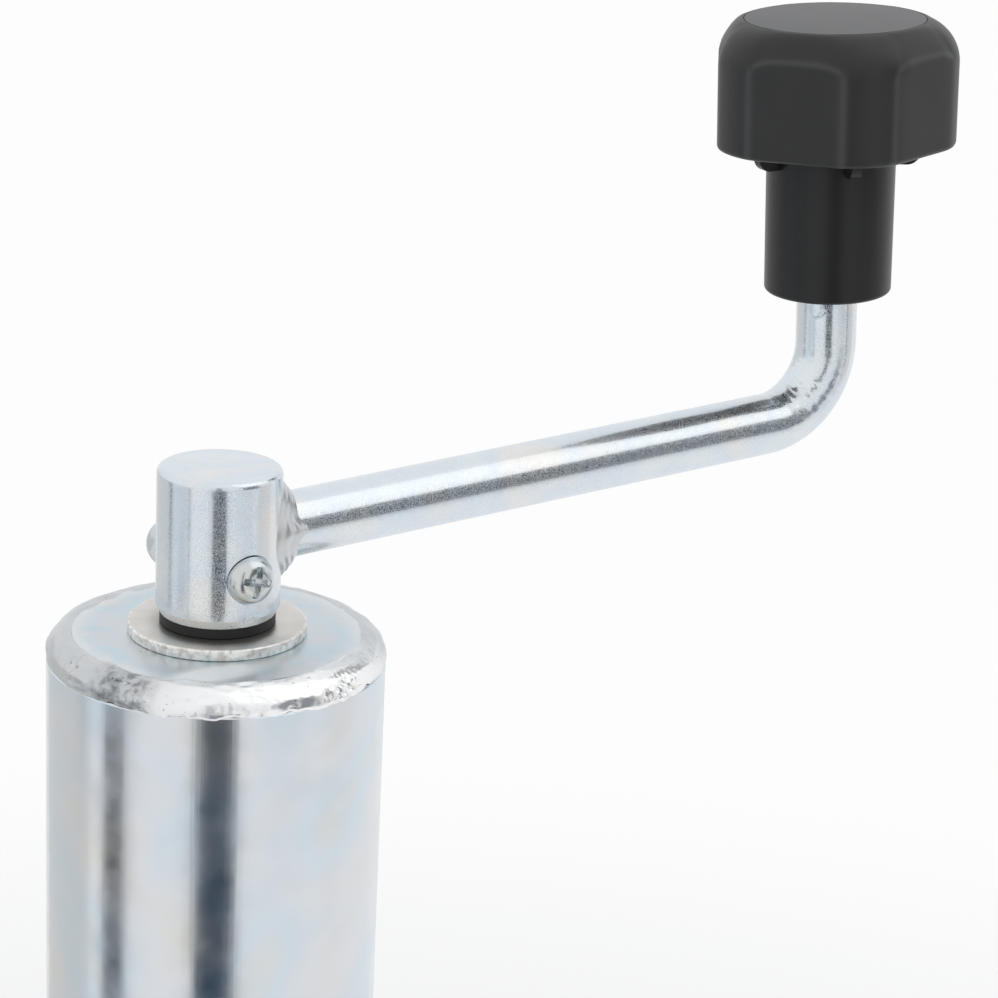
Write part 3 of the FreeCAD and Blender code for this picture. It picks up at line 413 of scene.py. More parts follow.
# One end of the run was left burnt and lumpy.
BURNT_PLACE = (-24.6 * MM, -14.2 * MM, face - 2 * MM)
BURNT_OUTER, BURNT_INNER = 8 * MM, 3 * MM
from_burnt = add_node(
    tree, "ShaderNodeVectorMath", {0: place, 1: BURNT_PLACE}, operation="DISTANCE"
)
burnt = add_node(
    tree, "ShaderNodeMapRange",
    {"Value": from_burnt.outputs["Value"], "From Min": BURNT_OUTER, "From Max": BURNT_INNER},
    interpolation_type="SMOOTHSTEP",
)
lumps = add_node(
    tree, "ShaderNodeTexNoise", {"Vector": place, "Scale": 1 / (1.8 * MM), "Detail": 2.0}
)
cinder = add_node(
    tree, "ShaderNodeMapRange",
    {"Value": lumps.outputs["Fac"], "From Min": 0.42, "From Max": 0.62,
     "To Min": 0.25, "To Max": 0.95},
)
cindered = add_node(
    tree, "ShaderNodeMath", {0: burnt.outputs["Result"], 1: cinder.outputs["Result"]},
    operation="MULTIPLY",
)
marked = add_node(
    tree, "ShaderNodeMix",
    {"Factor": cindered.outputs[0], MIX_A: specked.outputs[MIXED], MIX_B: linear("#8b8d8f")},
    data_type="RGBA",
)
bump = add_node(
    tree, "ShaderNodeBump", {"Height": lumps.outputs["Fac"], "Distance": 0.07 * MM}
)
tree.links.new(marked.outputs[MIXED], shader.inputs["Base Color"])
tree.links.new(bump.outputs[0], shader.inputs["Normal"])
shader.inputs["Metallic"].default_value = 1.0
shader.inputs["Roughness"].default_value = 0.3
surface("rim_bead", bead_points(), weld_zinc, "outer_tube", "rim_weld_bead")

# TOP WASHER
# Turned steel washer, unplated and so warmer than the zinc, which lies loose on the plate.
# Faint turning marks, drawn coarser than the real ones so that they show, run round its
# faces. A painted shade darkens the face round the spacer ring, and its side is coarser, as
# cut.
WASHER_BORE = 7.5 * MM
SHADE_IN, SHADE_OUT = 10.2 * MM, 12.8 * MM
FACE_ENDS, SIDE_BEGINS = 15.3 * MM, 15.7 * MM
FACE_ROUGH, SIDE_ROUGH = 0.32, 0.45
washer_steel, tree, shader, place = start_material("turned_bright_steel")
apart = add_node(tree, "ShaderNodeSeparateXYZ", {"Vector": place})
square_x = add_node(
    tree, "ShaderNodeMath", {0: apart.outputs["X"], 1: apart.outputs["X"]},
    operation="MULTIPLY",
)
square = add_node(
    tree, "ShaderNodeMath",
    {0: apart.outputs["Y"], 1: apart.outputs["Y"], 2: square_x.outputs[0]},
    operation="MULTIPLY_ADD",
)
radius = add_node(tree, "ShaderNodeMath", {0: square.outputs[0]}, operation="SQRT")
rings = add_node(
    tree, "ShaderNodeCombineXYZ", {"X": radius.outputs[0], "Z": apart.outputs["Z"]}
)
turning = add_node(
    tree, "ShaderNodeTexNoise",
    {"Vector": rings.outputs[0], "Scale": 1 / (0.35 * MM), "Detail": 2.0},
)
mottle = add_node(
    tree, "ShaderNodeTexNoise", {"Vector": place, "Scale": 1 / (4 * MM), "Detail": 3.0}
)
tones = add_node(
    tree, "ShaderNodeMix",
    {"Factor": mottle.outputs["Fac"], MIX_A: linear("#cbc7c0"), MIX_B: linear("#e6e4e0")},
    data_type="RGBA",
)
# Painted shade: the face darkens towards the spacer ring.
ring_shade = add_node(
    tree, "ShaderNodeMapRange",
    {"Value": radius.outputs[0], "From Min": SHADE_OUT, "From Max": SHADE_IN,
     "To Max": 0.1},
    interpolation_type="SMOOTHSTEP",
)
ring_shaded = add_node(
    tree, "ShaderNodeMix",
    {"Factor": ring_shade.outputs["Result"], MIX_A: tones.outputs[MIXED],
     MIX_B: linear("#4a4641")},
    data_type="RGBA",
)
wear = add_node(
    tree, "ShaderNodeTexNoise", {"Vector": place, "Scale": 1 / (1.1 * MM), "Detail": 3.0}
)
streak = add_node(
    tree, "ShaderNodeMapRange",
    {"Value": wear.outputs["Fac"], "From Min": 0.3, "From Max": 0.6},
)
streaked = add_node(
    tree, "ShaderNodeMix",
    {"Factor": streak.outputs["Result"], MIX_A: linear("#d3cec6"), MIX_B: linear("#fffdf9")},
    data_type="RGBA",
)
sideward = add_node(
    tree, "ShaderNodeMapRange",
    {"Value": radius.outputs[0], "From Min": FACE_ENDS, "From Max": SIDE_BEGINS},
)
toned = add_node(
    tree, "ShaderNodeMix",
    {"Factor": sideward.outputs["Result"], MIX_A: ring_shaded.outputs[MIXED],
     MIX_B: streaked.outputs[MIXED]},
    data_type="RGBA",
)
rough = add_node(
    tree, "ShaderNodeMapRange",
    {"Value": sideward.outputs["Result"], "To Min": FACE_ROUGH, "To Max": SIDE_ROUGH},
)
dents = add_node(
    tree, "ShaderNodeBump", {"Height": wear.outputs["Fac"], "Distance": 0.02 * MM}
)
bump = add_node(
    tree, "ShaderNodeBump",
    {"Height": turning.outputs["Fac"], "Distance": 0.006 * MM, "Normal": dents.outputs[0]},
)
tree.links.new(toned.outputs[MIXED], shader.inputs["Base Color"])
tree.links.new(rough.outputs["Result"], shader.inputs["Roughness"])
tree.links.new(bump.outputs[0], shader.inputs["Normal"])
shader.inputs["Metallic"].default_value = 1.0


def rounded(corners, steps=5):
    """Outline through corners (radius, height, rounding), each rounded corner an arc tangent
    to both its sides, as points one after another."""
    points = []
    count = len(corners)
    for i, (r, z, rounding) in enumerate(corners):
        here = np.array([r, z])
        if not rounding:
            points.append(here)
            continue
        back = np.array(corners[i - 1][:2]) - here
        on = np.array(corners[(i + 1) % count][:2]) - here
        back, on = back / np.linalg.norm(back), on / np.linalg.norm(on)
        half = math.acos(float(np.clip(back @ on, -1, 1))) / 2
        middle = (back + on) / np.linalg.norm(back + on)
        centre = here + middle * rounding / math.sin(half)
        sweep = (math.pi - 2 * half) / 2
        across = (on - back) / np.linalg.norm(on - back)
        for turn in np.linspace(-sweep, sweep, steps):
            point = centre - middle * rounding * math.cos(turn)
            points.append(point + across * rounding * math.sin(turn))
    return np.array(points)


def turned(corners, segments=160):
    """Turned form: the closed, rounded outline of (radius, height, rounding) corners in
    metres, carried once round Z."""
    outline = rounded(corners)
    outline = np.concatenate([outline, outline[:1]])
    a = around(segments)
    r, z = outline[:, :1], outline[:, 1:]
    return np.stack([r * np.cos(a), r * np.sin(a), z + 0 * a], -1)


washer_low, washer_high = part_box("top_washer")
surface(
    "washer_on_plate",
    turned([
        (WASHER_BORE, washer_low.z, 0), (washer_high.x, washer_low.z, 0.3 * MM),
        (washer_high.x, washer_high.z, 0.35 * MM), (WASHER_BORE, washer_high.z, 0.2 * MM),
    ]),
    washer_steel, "outer_tube", "top_washer",
)

# GUIDE PIN, SPINDLE AND BEARING
# What works inside the tube: a plated pin that keeps the inner tube from turning, a machined
# screw under grease with its collar, nut and cross pins, and a ground thrust bearing.
# Barrel-plated zinc: a little greyer and duller than the tube's.
fastener_zinc = zinc_plate(
    "zinc_plated_fastener", ["#d6d8d9", "#cdd6db", "#dad8d2"],
    cloud=9 * MM, roughness=0.22, swell=2.5 * MM, swell_height=0.02 * MM,
)
dress("guide_pin", fastener_zinc)

# Machined steel under grease: grey, smeared, with a wet gloss over it.
greased_steel, tree, shader, place = start_material("machined_steel_with_grease")
smear = add_node(
    tree, "ShaderNodeTexNoise", {"Vector": place, "Scale": 1 / (6 * MM), "Detail": 4.0}
)
tones = add_node(
    tree, "ShaderNodeMix",
    {"Factor": smear.outputs["Fac"], MIX_A: linear("#6b665c"), MIX_B: linear("#a8a59d")},
    data_type="RGBA",
)
tree.links.new(tones.outputs[MIXED], shader.inputs["Base Color"])
shader.inputs["Metallic"].default_value = 1.0
shader.inputs["Roughness"].default_value = 0.35
shader.inputs["Coat Weight"].default_value = 0.4
for node in (
    "spindle", "spindle_collar", "collar_pin", "spindle_end_pin", "spindle_nut",
    "wheel_hub_tube",
):
    dress(node, greased_steel)

# Ground and hardened steel: nearly a mirror.
ground_steel, tree, shader, place = start_material("ground_bearing_steel")
haze = add_node(
    tree, "ShaderNodeTexNoise", {"Vector": place, "Scale": 1 / (3 * MM), "Detail": 2.0}
)
tones = add_node(
    tree, "ShaderNodeMix",
    {"Factor": haze.outputs["Fac"], MIX_A: linear("#b9bbbd"), MIX_B: linear("#d7d8d9")},
    data_type="RGBA",
)
tree.links.new(tones.outputs[MIXED], shader.inputs["Base Color"])
shader.inputs["Metallic"].default_value = 1.0
shader.inputs["Roughness"].default_value = 0.12
for node in ("bearing_upper_race", "bearing_lower_race", "bearing_balls"):
    dress(node, ground_steel)

# CRANK HUB
# Turned steel boss under bright zinc, rounded at the top and bevelled at the foot, which the
# cross screw fixes to the spindle. A fine frost hazes what the zinc mirrors. Its real flecks
# are a few hundredths of a millimetre, and are drawn coarser so that they show.
hub_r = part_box("crank_hub")[1].x
crank_zinc = zinc_plate(
    "zinc_plated_bright_bar", ["#e7ecee", "#dfe7ed", "#ebeae8"],
    cloud=12 * MM, roughness=0.12, swell=1.4 * MM, swell_height=0.010 * MM, frost=0.13 * MM,
)
dress("crank_hub", crank_zinc)

# SPACER RING
# Black nylon ring between hub and washer, moulded, with a dry and slightly dusty face. The
# swivel washer and the wheel's bushes are of the same nylon.
# The spacer ring's black is also painted shade of the gap under the hub.
nylon_and_gap_shade, tree, shader, place = start_material("black_nylon_and_gap_shade")
dust = add_node(
    tree, "ShaderNodeTexNoise", {"Vector": place, "Scale": 1 / (1.5 * MM), "Detail": 3.0}
)
tones = add_node(
    tree, "ShaderNodeMix",
    {"Factor": dust.outputs["Fac"], MIX_A: linear("#0b0b0b"), MIX_B: linear("#171717")},
    data_type="RGBA",
)
tree.links.new(tones.outputs[MIXED], shader.inputs["Base Color"])
shader.inputs["Roughness"].default_value = 0.55
for node in ("hub_spacer_ring", "swivel_washer", "hub_bush_left", "hub_bush_right"):
    dress(node, nylon_and_gap_shade)

# CROSS SCREW AND NUT
# Pan-head machine screw through hub and spindle, its cross recess struck into the head, and
# a domed nut behind. Both are zinc plated.
SCREW_R = 3.0 * MM
SCREW_HEAD_R = 4.3 * MM
SCREW_HEAD_H = 3.4 * MM
SCREW_HEAD_ROUND = 2.6 * MM
SCREW_TIP = 24.5 * MM
SCREW_SEAT = 10.06 * MM
SCREW_HEIGHT = 196.2 * MM
SCREW_SKEW = math.radians(5)
SCREW_FALL = math.radians(3)
RECESS_HALF = 2.75 * MM
RECESS_ARM = 0.62 * MM
RECESS_LEAN = 0.18 * MM
RECESS_DEPTH = 2.0 * MM
RECESS_TURN = math.radians(12)
way_out = Vector((
    math.sin(SCREW_SKEW) * math.cos(SCREW_FALL),
    -math.cos(SCREW_SKEW) * math.cos(SCREW_FALL),
    math.sin(SCREW_FALL),
))


def cross_recess(x, y):
    """Depth of a struck cross: two crossing slots with leaning walls, whose floor goes as the
    root of the distance from their ends, so that they are deepest in the middle."""
    depth = 0 * x
    for u, v in ((x, y), (y, x)):
        reach = np.clip(1 - np.abs(u) / RECESS_HALF, 0, 1)
        wall = np.clip((RECESS_ARM - np.abs(v)) / RECESS_LEAN, 0, 1)
        depth = np.maximum(depth, wall * RECESS_DEPTH * reach**0.5)
    return depth


def screw_points(segments=200):
    """Turned form about the screw's own axis, shank and head, whose top sinks by the depth of
    the cross recess. The height over the seat is carried out along the screw's axis."""
    fine = np.linspace(SCREW_HEAD_R - SCREW_HEAD_ROUND, 0, 44)[1:]
    turn = np.linspace(0, math.pi / 2, 26)
    edge_r = SCREW_HEAD_R - SCREW_HEAD_ROUND * (1 - np.cos(turn))
    edge_h = SCREW_HEAD_H - SCREW_HEAD_ROUND * (1 - np.sin(turn))
    r = np.concatenate([[0, SCREW_R, SCREW_R, SCREW_HEAD_R], edge_r, fine])[:, None]
    h = np.concatenate([[-SCREW_TIP, -SCREW_TIP, 0, 0], edge_h, SCREW_HEAD_H + 0 * fine])
    a = around(segments)
    x, y = r * np.cos(a), r * np.sin(a)
    cross_x = x * math.cos(RECESS_TURN) - y * math.sin(RECESS_TURN)
    cross_y = x * math.sin(RECESS_TURN) + y * math.cos(RECESS_TURN)
    h = h[:, None] - np.where(h[:, None] > 0, cross_recess(cross_x, cross_y), 0)
    axes = np.array(way_out.to_track_quat("Z", "Y").to_matrix())
    seat = np.array([0, 0, SCREW_HEIGHT]) + np.array(way_out) * SCREW_SEAT
    return seat + np.stack([x, y, h], -1) @ axes.T


surface(
    "cross_screw_struck", screw_points(), fastener_zinc, "crank",
    "cross_screw", sharp=50,
)
for node in ("cross_nut", "knob_retainer"):
    dress(node, fastener_zinc)

# ARM WELD
# One fillet of weld round the rod where it meets the hub. It reaches far along the rod's
# sides, little above and below, and faint ridges run round it. Plated with the crank.
ROD_R = 5.9 * MM
ARM_HEIGHT = 201.04 * MM
ARM_RISE = math.radians(3.9)
WELD_LIP = 0.18 * MM
WELD_BURIED = 0.35 * MM
along_arm = np.array([math.cos(ARM_RISE), 0, math.sin(ARM_RISE)])
above_arm = np.array([-math.sin(ARM_RISE), 0, math.cos(ARM_RISE)])
front = np.array([0, -1.0, 0])


def round_arm(s, q, r):
    """Points s along the arm from the spindle's axis and r out from the rod's axis, at an
    angle q from its top towards the front."""
    s, q, r = (v[..., None] for v in np.broadcast_arrays(s, q, r))
    outward = above_arm * np.cos(q) + front * np.sin(q)
    return np.array([0, 0, ARM_HEIGHT]) + along_arm * s + outward * r


def hub_reach(q, r):
    """Distance along the arm at which a line r from its axis comes out of the hub's side."""
    chord = np.sqrt(hub_r**2 - (r * np.sin(q)) ** 2)
    return (chord + r * np.cos(q) * math.sin(ARM_RISE)) / math.cos(ARM_RISE)


def arm_weld_points(steps=220, across=34):
    """Grid round the rod. From the hub's side, t runs 0 to 1 straight down to the toe on the
    rod. Height and length change round the rod: the toe has a point at either side. Ridges
    follow t, and the last rows close the weld inside the hub and the rod."""
    q = around(steps)
    low = np.arccos(np.cos(q))
    over, under = np.clip(np.cos(q), 0, 1), np.clip(-np.cos(q), 0, 1)
    height = (2.75 + 1.0 * over**2 + 0.3 * under) * MM
    length = (2.6 + 0.6 * np.sin(q) ** 2 + 2.1 * np.exp(-(((low - 1.43) / 0.26) ** 2))) * MM
    length = length + 0.25 * MM * lattice_noise(q * 9 / (2 * np.pi), 0 * q, 9, 31)
    t = np.linspace(0, 1, across)[:, None]
    start, toe = hub_reach(q, ROD_R + height) - 0.1 * MM, hub_reach(q, ROD_R) + length
    sway = 0.6 * lattice_noise(q * 11 / (2 * np.pi), 2 * t, 11, 32)
    ridges = 0.05 * np.sin(2 * np.pi * (3.2 * t + sway))
    ridges = ridges + 0.06 * lattice_noise(q * 26 / (2 * np.pi), 5 * t, 26, 33)
    bulge = np.sin(np.pi * t) * (0.1 + ridges) * MM
    s = start + (toe - start) * t + bulge
    r = ROD_R + WELD_LIP + (height - WELD_LIP) * (1 - t) + bulge
    inner = ROD_R - WELD_BURIED
    s = np.concatenate([
        s, toe - 0.05 * MM, hub_reach(q, inner) - WELD_BURIED, start - WELD_BURIED,
    ])
    r = np.concatenate([r, inner + 0 * q, inner + 0 * q, ROD_R + height - WELD_BURIED])
    return round_arm(s, q, r)


surface(
    "arm_weld", arm_weld_points(), weld_zinc, "crank", "arm_weld_fillet",
    closed=(True, True), sharp=50,
)

# CRANK ROD
# One bright steel bar, bent square cold, so its inner bend is a little flattened and creased.
# Two ears are crimped up under the knob. It is coped to the hub and welded.
ROD_STARTS = 16 * MM
ARM_STRAIGHT = 117.5 * MM
ELBOW_R = 15 * MM
UPRIGHT = 59.15 * MM
EAR_UP = 8.1 * MM
EAR_PROUD = 1.3 * MM
EAR_HALF_LENGTH = 2.2 * MM
EAR_HALF_WIDTH = 1.5 * MM
EAR_TURN = math.radians(32)
CREASE = 0.11 * MM
CREASE_LENGTH = 2.6 * MM


def rod_points(segments=120):
    """Rings of radius ROD_R along a line that runs straight, turns square at ELBOW_R and runs
    straight again. In the bend the radius shrinks inside and grows at the sides, and shallow
    noise creases it. Two round-ended ears stand out just under the knob."""
    bend = ELBOW_R * math.pi / 2
    bend_ends = ARM_STRAIGHT + bend
    steps = np.concatenate([
        np.linspace(ROD_STARTS, ARM_STRAIGHT - 6 * MM, 40, endpoint=False),
        np.linspace(ARM_STRAIGHT - 6 * MM, bend_ends + 5 * MM, 130, endpoint=False),
        np.linspace(bend_ends + 5 * MM, bend_ends + 12 * MM, 50, endpoint=False),
        np.linspace(bend_ends + 12 * MM, bend_ends + UPRIGHT, 12),
    ])[:, None]
    q = around(segments)
    s = np.concatenate([hub_reach(q, ROD_R), steps + 0 * q])
    s = np.concatenate([s[:1] * 0 + hub_r, s, s[-1:]])
    turn = np.clip((s - ARM_STRAIGHT) / ELBOW_R, 0, math.pi / 2)
    bent = np.sin(2 * turn)
    inside = np.clip(np.cos(q), 0, 1)
    r = ROD_R + bent * (0.14 * np.sin(q) ** 2 - 0.3 * inside**2) * MM
    u = s / CREASE_LENGTH
    ruck = lattice_noise(q * 14 / (2 * np.pi), u, 14, 41)
    ruck = ruck + 0.7 * lattice_noise(q * 26 / (2 * np.pi), 2.7 * u, 26, 42)
    facing = np.clip(np.cos(q - 0.5), 0, 1) ** 1.5
    r = r + CREASE * ruck * facing * bent**1.5
    ear_s = bend_ends + EAR_UP
    for turned_by in (EAR_TURN, EAR_TURN + math.pi):
        off = (q - turned_by + np.pi) % (2 * np.pi) - np.pi
        far = np.hypot((s - ear_s) / EAR_HALF_LENGTH, off * ROD_R / EAR_HALF_WIDTH)
        rise = np.clip((1.15 - far) / 0.4, 0, 1)
        r = r + EAR_PROUD * rise * rise * (3 - 2 * rise)
    r[0] = 0
    r[-1] = 0
    inward = above_arm * np.cos(turn)[..., None] - along_arm * np.sin(turn)[..., None]
    hinge = np.array([0, 0, ARM_HEIGHT]) + along_arm * ARM_STRAIGHT + above_arm * ELBOW_R
    middle = hinge - inward * ELBOW_R
    middle = middle + along_arm * np.minimum(s - ARM_STRAIGHT, 0)[..., None]
    middle = middle + above_arm * np.maximum(s - ARM_STRAIGHT - bend, 0)[..., None]
    return middle + inward * (r * np.cos(q))[..., None] + front * (r * np.sin(q))[..., None]


surface("crank_rod_bent", rod_points(), crank_zinc, "crank", "crank_rod")

# KNOB
# Three mouldings: a near-black sleeve that runs on the rod, a dark grey head with five
# lobes, and a cap pressed in flush. The moulds' spark finish leaves a fine satin grain.
# The real grain is under a tenth of a millimetre, and is drawn coarser so that it shows.
SPARK_GRAIN = 0.3 * MM
SPARK_DEPTH = 0.04


def moulded(name, dark, pale, roughness):
    """Moulded plastic with a spark-eroded grain and slight flow clouds."""
    material, tree, shader, place = start_material(name)
    flow = add_node(
        tree, "ShaderNodeTexNoise", {"Vector": place, "Scale": 1 / (9 * MM), "Detail": 2.0}
    )
    tones = add_node(
        tree, "ShaderNodeMix",
        {"Factor": flow.outputs["Fac"], MIX_A: linear(dark), MIX_B: linear(pale)},
        data_type="RGBA",
    )
    sparks = add_node(
        tree, "ShaderNodeTexNoise", {"Vector": place, "Scale": 1 / SPARK_GRAIN, "Detail": 1.0}
    )
    bump = add_node(
        tree, "ShaderNodeBump",
        {"Height": sparks.outputs["Fac"], "Distance": SPARK_GRAIN * SPARK_DEPTH},
    )
    tree.links.new(tones.outputs[MIXED], shader.inputs["Base Color"])
    tree.links.new(bump.outputs[0], shader.inputs["Normal"])
    shader.inputs["Roughness"].default_value = roughness
    shader.inputs["Specular IOR Level"].default_value = 0.35
    return material


head_plastic = moulded("dark_grey_moulding", "#262626", "#2e2e2e", 0.42)
# The cap's paler grey is painted sheen: the light its top reflects, put into its colour.
sheened_cap_plastic = moulded("dark_grey_cap_moulding_painted_sheen", "#444444", "#4d4d4d", 0.42)
sleeve_plastic = moulded("near_black_moulding", "#191919", "#202020", 0.36)
dress("knob_cap", sheened_cap_plastic)
dress("knob_sleeve", sleeve_plastic)

KNOB_FOOT = np.array([130.4826, 0, 235.1438]) * MM
NECK_HEIGHT = 29 * MM
HEAD_R = 23.65 * MM
HEAD_H = 23.895 * MM
SHOULDER_R = 8.2 * MM
FLUTE_R = 21.7 * MM
FLUTE_HOLLOW_R = 300 * MM
FLUTE_BLEND = 0.9 * MM
PANEL_TOP = 19.0 * MM
PANEL_DIP = 1.5 * MM
PANEL_HALF = 0.4
FOOT_ROUND = 1.1 * MM
CAP_EDGE_R = 17.3 * MM
CAP_SEAT = 21.7 * MM
CAP_LIP = 0.25 * MM
CAP_GAP = 0.05 * MM
HOLLOW_OUT_R = 18 * MM
HOLLOW_IN_R = 15.4 * MM
HOLLOW_H = 12 * MM
SPIGOT_R = 11.05 * MM
LOBES = 5
LOBE_TURN = math.radians(-110.5)


def smooth_least(one, other, blend):
    """The smaller of two, rounded over where they meet: the sum less the root of the squared
    difference and squared blend, halved."""
    return (one + other - np.sqrt((one - other) ** 2 + blend**2)) / 2


def from_flute(a):
    """Angle from the middle of the nearest flute."""
    step = 2 * math.pi / LOBES
    return (a - LOBE_TURN) % step - step / 2


def panel_dip(b):
    """How far a flute's top edge lies under its middle: as the fourth power of the angle, so
    that it is level and falls only at its ends."""
    return PANEL_DIP * (b / PANEL_HALF) ** 4


def knob_head_points(segments=500):
    """Rows up the outside, down the cap's seat and the bore, and round the hollow underneath.
    The plan is the smaller of a circle and five nearly flat flutes. Between the flutes the
    shoulder is a plain arc. Over a flute it starts higher, from a level edge, and goes as the
    0.55th power of the height left, which brings both to the cap's edge."""
    a = around(segments)
    shoulder_in = HEAD_R - SHOULDER_R
    end = math.acos((CAP_EDGE_R - shoulder_in) / SHOULDER_R)
    shoulder_z = HEAD_H - SHOULDER_R * math.sin(end)
    lift = np.linspace(0, end, 60)
    foot = FOOT_ROUND * (1 - np.cos(np.linspace(0, math.pi / 2, 9)))
    wall = np.linspace(FOOT_ROUND, shoulder_z, 40)[1:-1]
    z = np.concatenate([foot, wall, shoulder_z + SHOULDER_R * np.sin(lift)])[:, None]
    above = np.clip(z - shoulder_z, 0, None)
    round_in = shoulder_in + np.sqrt(SHOULDER_R**2 - above**2) - CAP_EDGE_R
    b = from_flute(a)
    reach = FLUTE_R + FLUTE_HOLLOW_R
    flute = reach * np.cos(b) - np.sqrt(FLUTE_HOLLOW_R**2 - (reach * np.sin(b)) ** 2)
    plan = smooth_least(HEAD_R, flute, FLUTE_BLEND)
    deep = np.clip((HEAD_R - 0.15 * MM - flute) / MM, 0, 1)
    edge_z = PANEL_TOP - panel_dip(b)
    left = np.clip((HEAD_H - z) / (HEAD_H - edge_z), 0, None) ** 0.55
    share = (1 - deep) * round_in / (HEAD_R - CAP_EDGE_R) + deep * smooth_least(1, left, 0.02)
    r = CAP_EDGE_R + (plan - CAP_EDGE_R) * np.clip(share, 0, 1)
    under = np.clip(FOOT_ROUND - z, 0, None)
    r = r - (FOOT_ROUND - np.sqrt(FOOT_ROUND**2 - under**2))
    inner = np.array([
        (CAP_EDGE_R - CAP_GAP, HEAD_H - CAP_LIP), (CAP_EDGE_R - CAP_GAP, CAP_SEAT),
        (SPIGOT_R, CAP_SEAT), (SPIGOT_R, 0), (HOLLOW_IN_R, 0), (HOLLOW_IN_R, HOLLOW_H),
        (HOLLOW_OUT_R, HOLLOW_H), (HOLLOW_OUT_R, 0),
    ])
    r = np.concatenate([r, inner[:, :1] + 0 * a])
    z = np.concatenate([z, inner[:, 1:]]) + NECK_HEIGHT + 0 * a
    outward = along_arm * np.cos(a)[..., None] - front * np.sin(a)[..., None]
    return KNOB_FOOT + outward * r[..., None] + above_arm * z[..., None]


head = surface(
    "knob_head_lobed", knob_head_points(), head_plastic, "knob",
    "knob_head", closed=(True, True), sharp=35,
)

# Painted highlights make the flutes' edges a little paler.
EDGE_GLINT_ACROSS = 0.36 * MM
EDGE_GLINT_OVER = 0.6 * MM
EDGE_GLINT_FADE = 2 * MM
EDGE_GLINT_SHARE = 0.42


def edge_glints(piece):
    """Attribute from 0 to 1 that marks the flutes' upright edges and their level top edge, by
    a bell curve of each point's distance from them."""
    points = np.empty(len(piece.data.vertices) * 3)
    piece.data.vertices.foreach_get("co", points)
    away = points.reshape(-1, 3) - KNOB_FOOT
    b = from_flute(np.arctan2(-(away @ front), away @ along_arm))
    edge = (HEAD_R - FLUTE_R / np.cos(b)) / EDGE_GLINT_ACROSS
    over = away @ above_arm - NECK_HEIGHT - PANEL_TOP + panel_dip(b)
    upright = np.exp(-(edge**2)) * np.clip(0.5 - over / EDGE_GLINT_FADE, 0, 1)
    level = np.exp(-((over / EDGE_GLINT_OVER) ** 2)) * np.clip(edge, 0, 1)
    outside = np.hypot(away @ along_arm, away @ front) > CAP_EDGE_R
    marks = piece.data.attributes.new("glint_marks", "FLOAT", "POINT")
    marks.data.foreach_set("value", np.maximum(upright, level) * outside)


edge_glints(head)
tree = head_plastic.node_tree
shader = tree.nodes["Principled BSDF"]
mark = add_node(tree, "ShaderNodeAttribute", attribute_name="glint_marks")
faint = add_node(
    tree, "ShaderNodeMath", {0: mark.outputs["Fac"], 1: EDGE_GLINT_SHARE}, operation="MULTIPLY"
)
# Painted highlight: the flutes' edges are mixed towards a paler grey.
edge_glinted = add_node(
    tree, "ShaderNodeMix",
    {"Factor": faint.outputs[0], MIX_B: linear("#545454"),
     MIX_A: shader.inputs["Base Color"].links[0].from_socket},
    data_type="RGBA",
)
tree.links.new(edge_glinted.outputs[MIXED], shader.inputs["Base Color"])

# INNER TUBE, FOOT PLUG AND KINGPIN
# The sliding tube is zinc plated as the outer one, with a long slot at the back. A turned
# plug closes its foot, and the kingpin screws into that.
for node in ("inner_tube", "foot_plug"):
    dress(node, tube_zinc)
for node in ("kingpin", "axle_bolt", "axle_nut", "axle_washers", "rim_bolts"):
    dress(node, fastener_zinc)

# FORK
# One steel plate pressed to a U and zinc plated, duller than the tube under a coarser frost.
# It hangs on the kingpin's head and turns about it.
pressed_zinc = zinc_plate(
    "zinc_plated_pressing", ["#cfd3d5", "#c3ced6", "#d3d2cd"],
    cloud=30 * MM, roughness=0.3, swell=6 * MM, swell_height=0.03 * MM, frost=0.4 * MM,
)
dress("fork_yoke", pressed_zinc)

# RIM HALVES
# Two steel pressings, zinc plated as the fork. Five bolts hold them back to back on the
# wheel's hub tube.
for node in ("rim_half_left", "rim_half_right"):
    dress(node, pressed_zinc)

# TYRE
# Solid black rubber, moulded with a ribbed tread, matt with a grey bloom. The rim halves
# grip its foot.
rubber, tree, shader, place = start_material("moulded_solid_rubber")
bloom = add_node(
    tree, "ShaderNodeTexNoise", {"Vector": place, "Scale": 1 / (11 * MM), "Detail": 4.0}
)
tones = add_node(
    tree, "ShaderNodeMix",
    {"Factor": bloom.outputs["Fac"], MIX_A: linear("#1b1b1b"), MIX_B: linear("#2f2e2d")},
    data_type="RGBA",
)
pebble = add_node(
    tree, "ShaderNodeTexNoise", {"Vector": place, "Scale": 1 / (0.6 * MM), "Detail": 2.0}
)
bump = add_node(
    tree, "ShaderNodeBump", {"Height": pebble.outputs["Fac"], "Distance": 0.03 * MM}
)
tree.links.new(tones.outputs[MIXED], shader.inputs["Base Color"])
tree.links.new(bump.outputs[0], shader.inputs["Normal"])
shader.inputs["Roughness"].default_value = 0.62
dress("tyre", rubber)

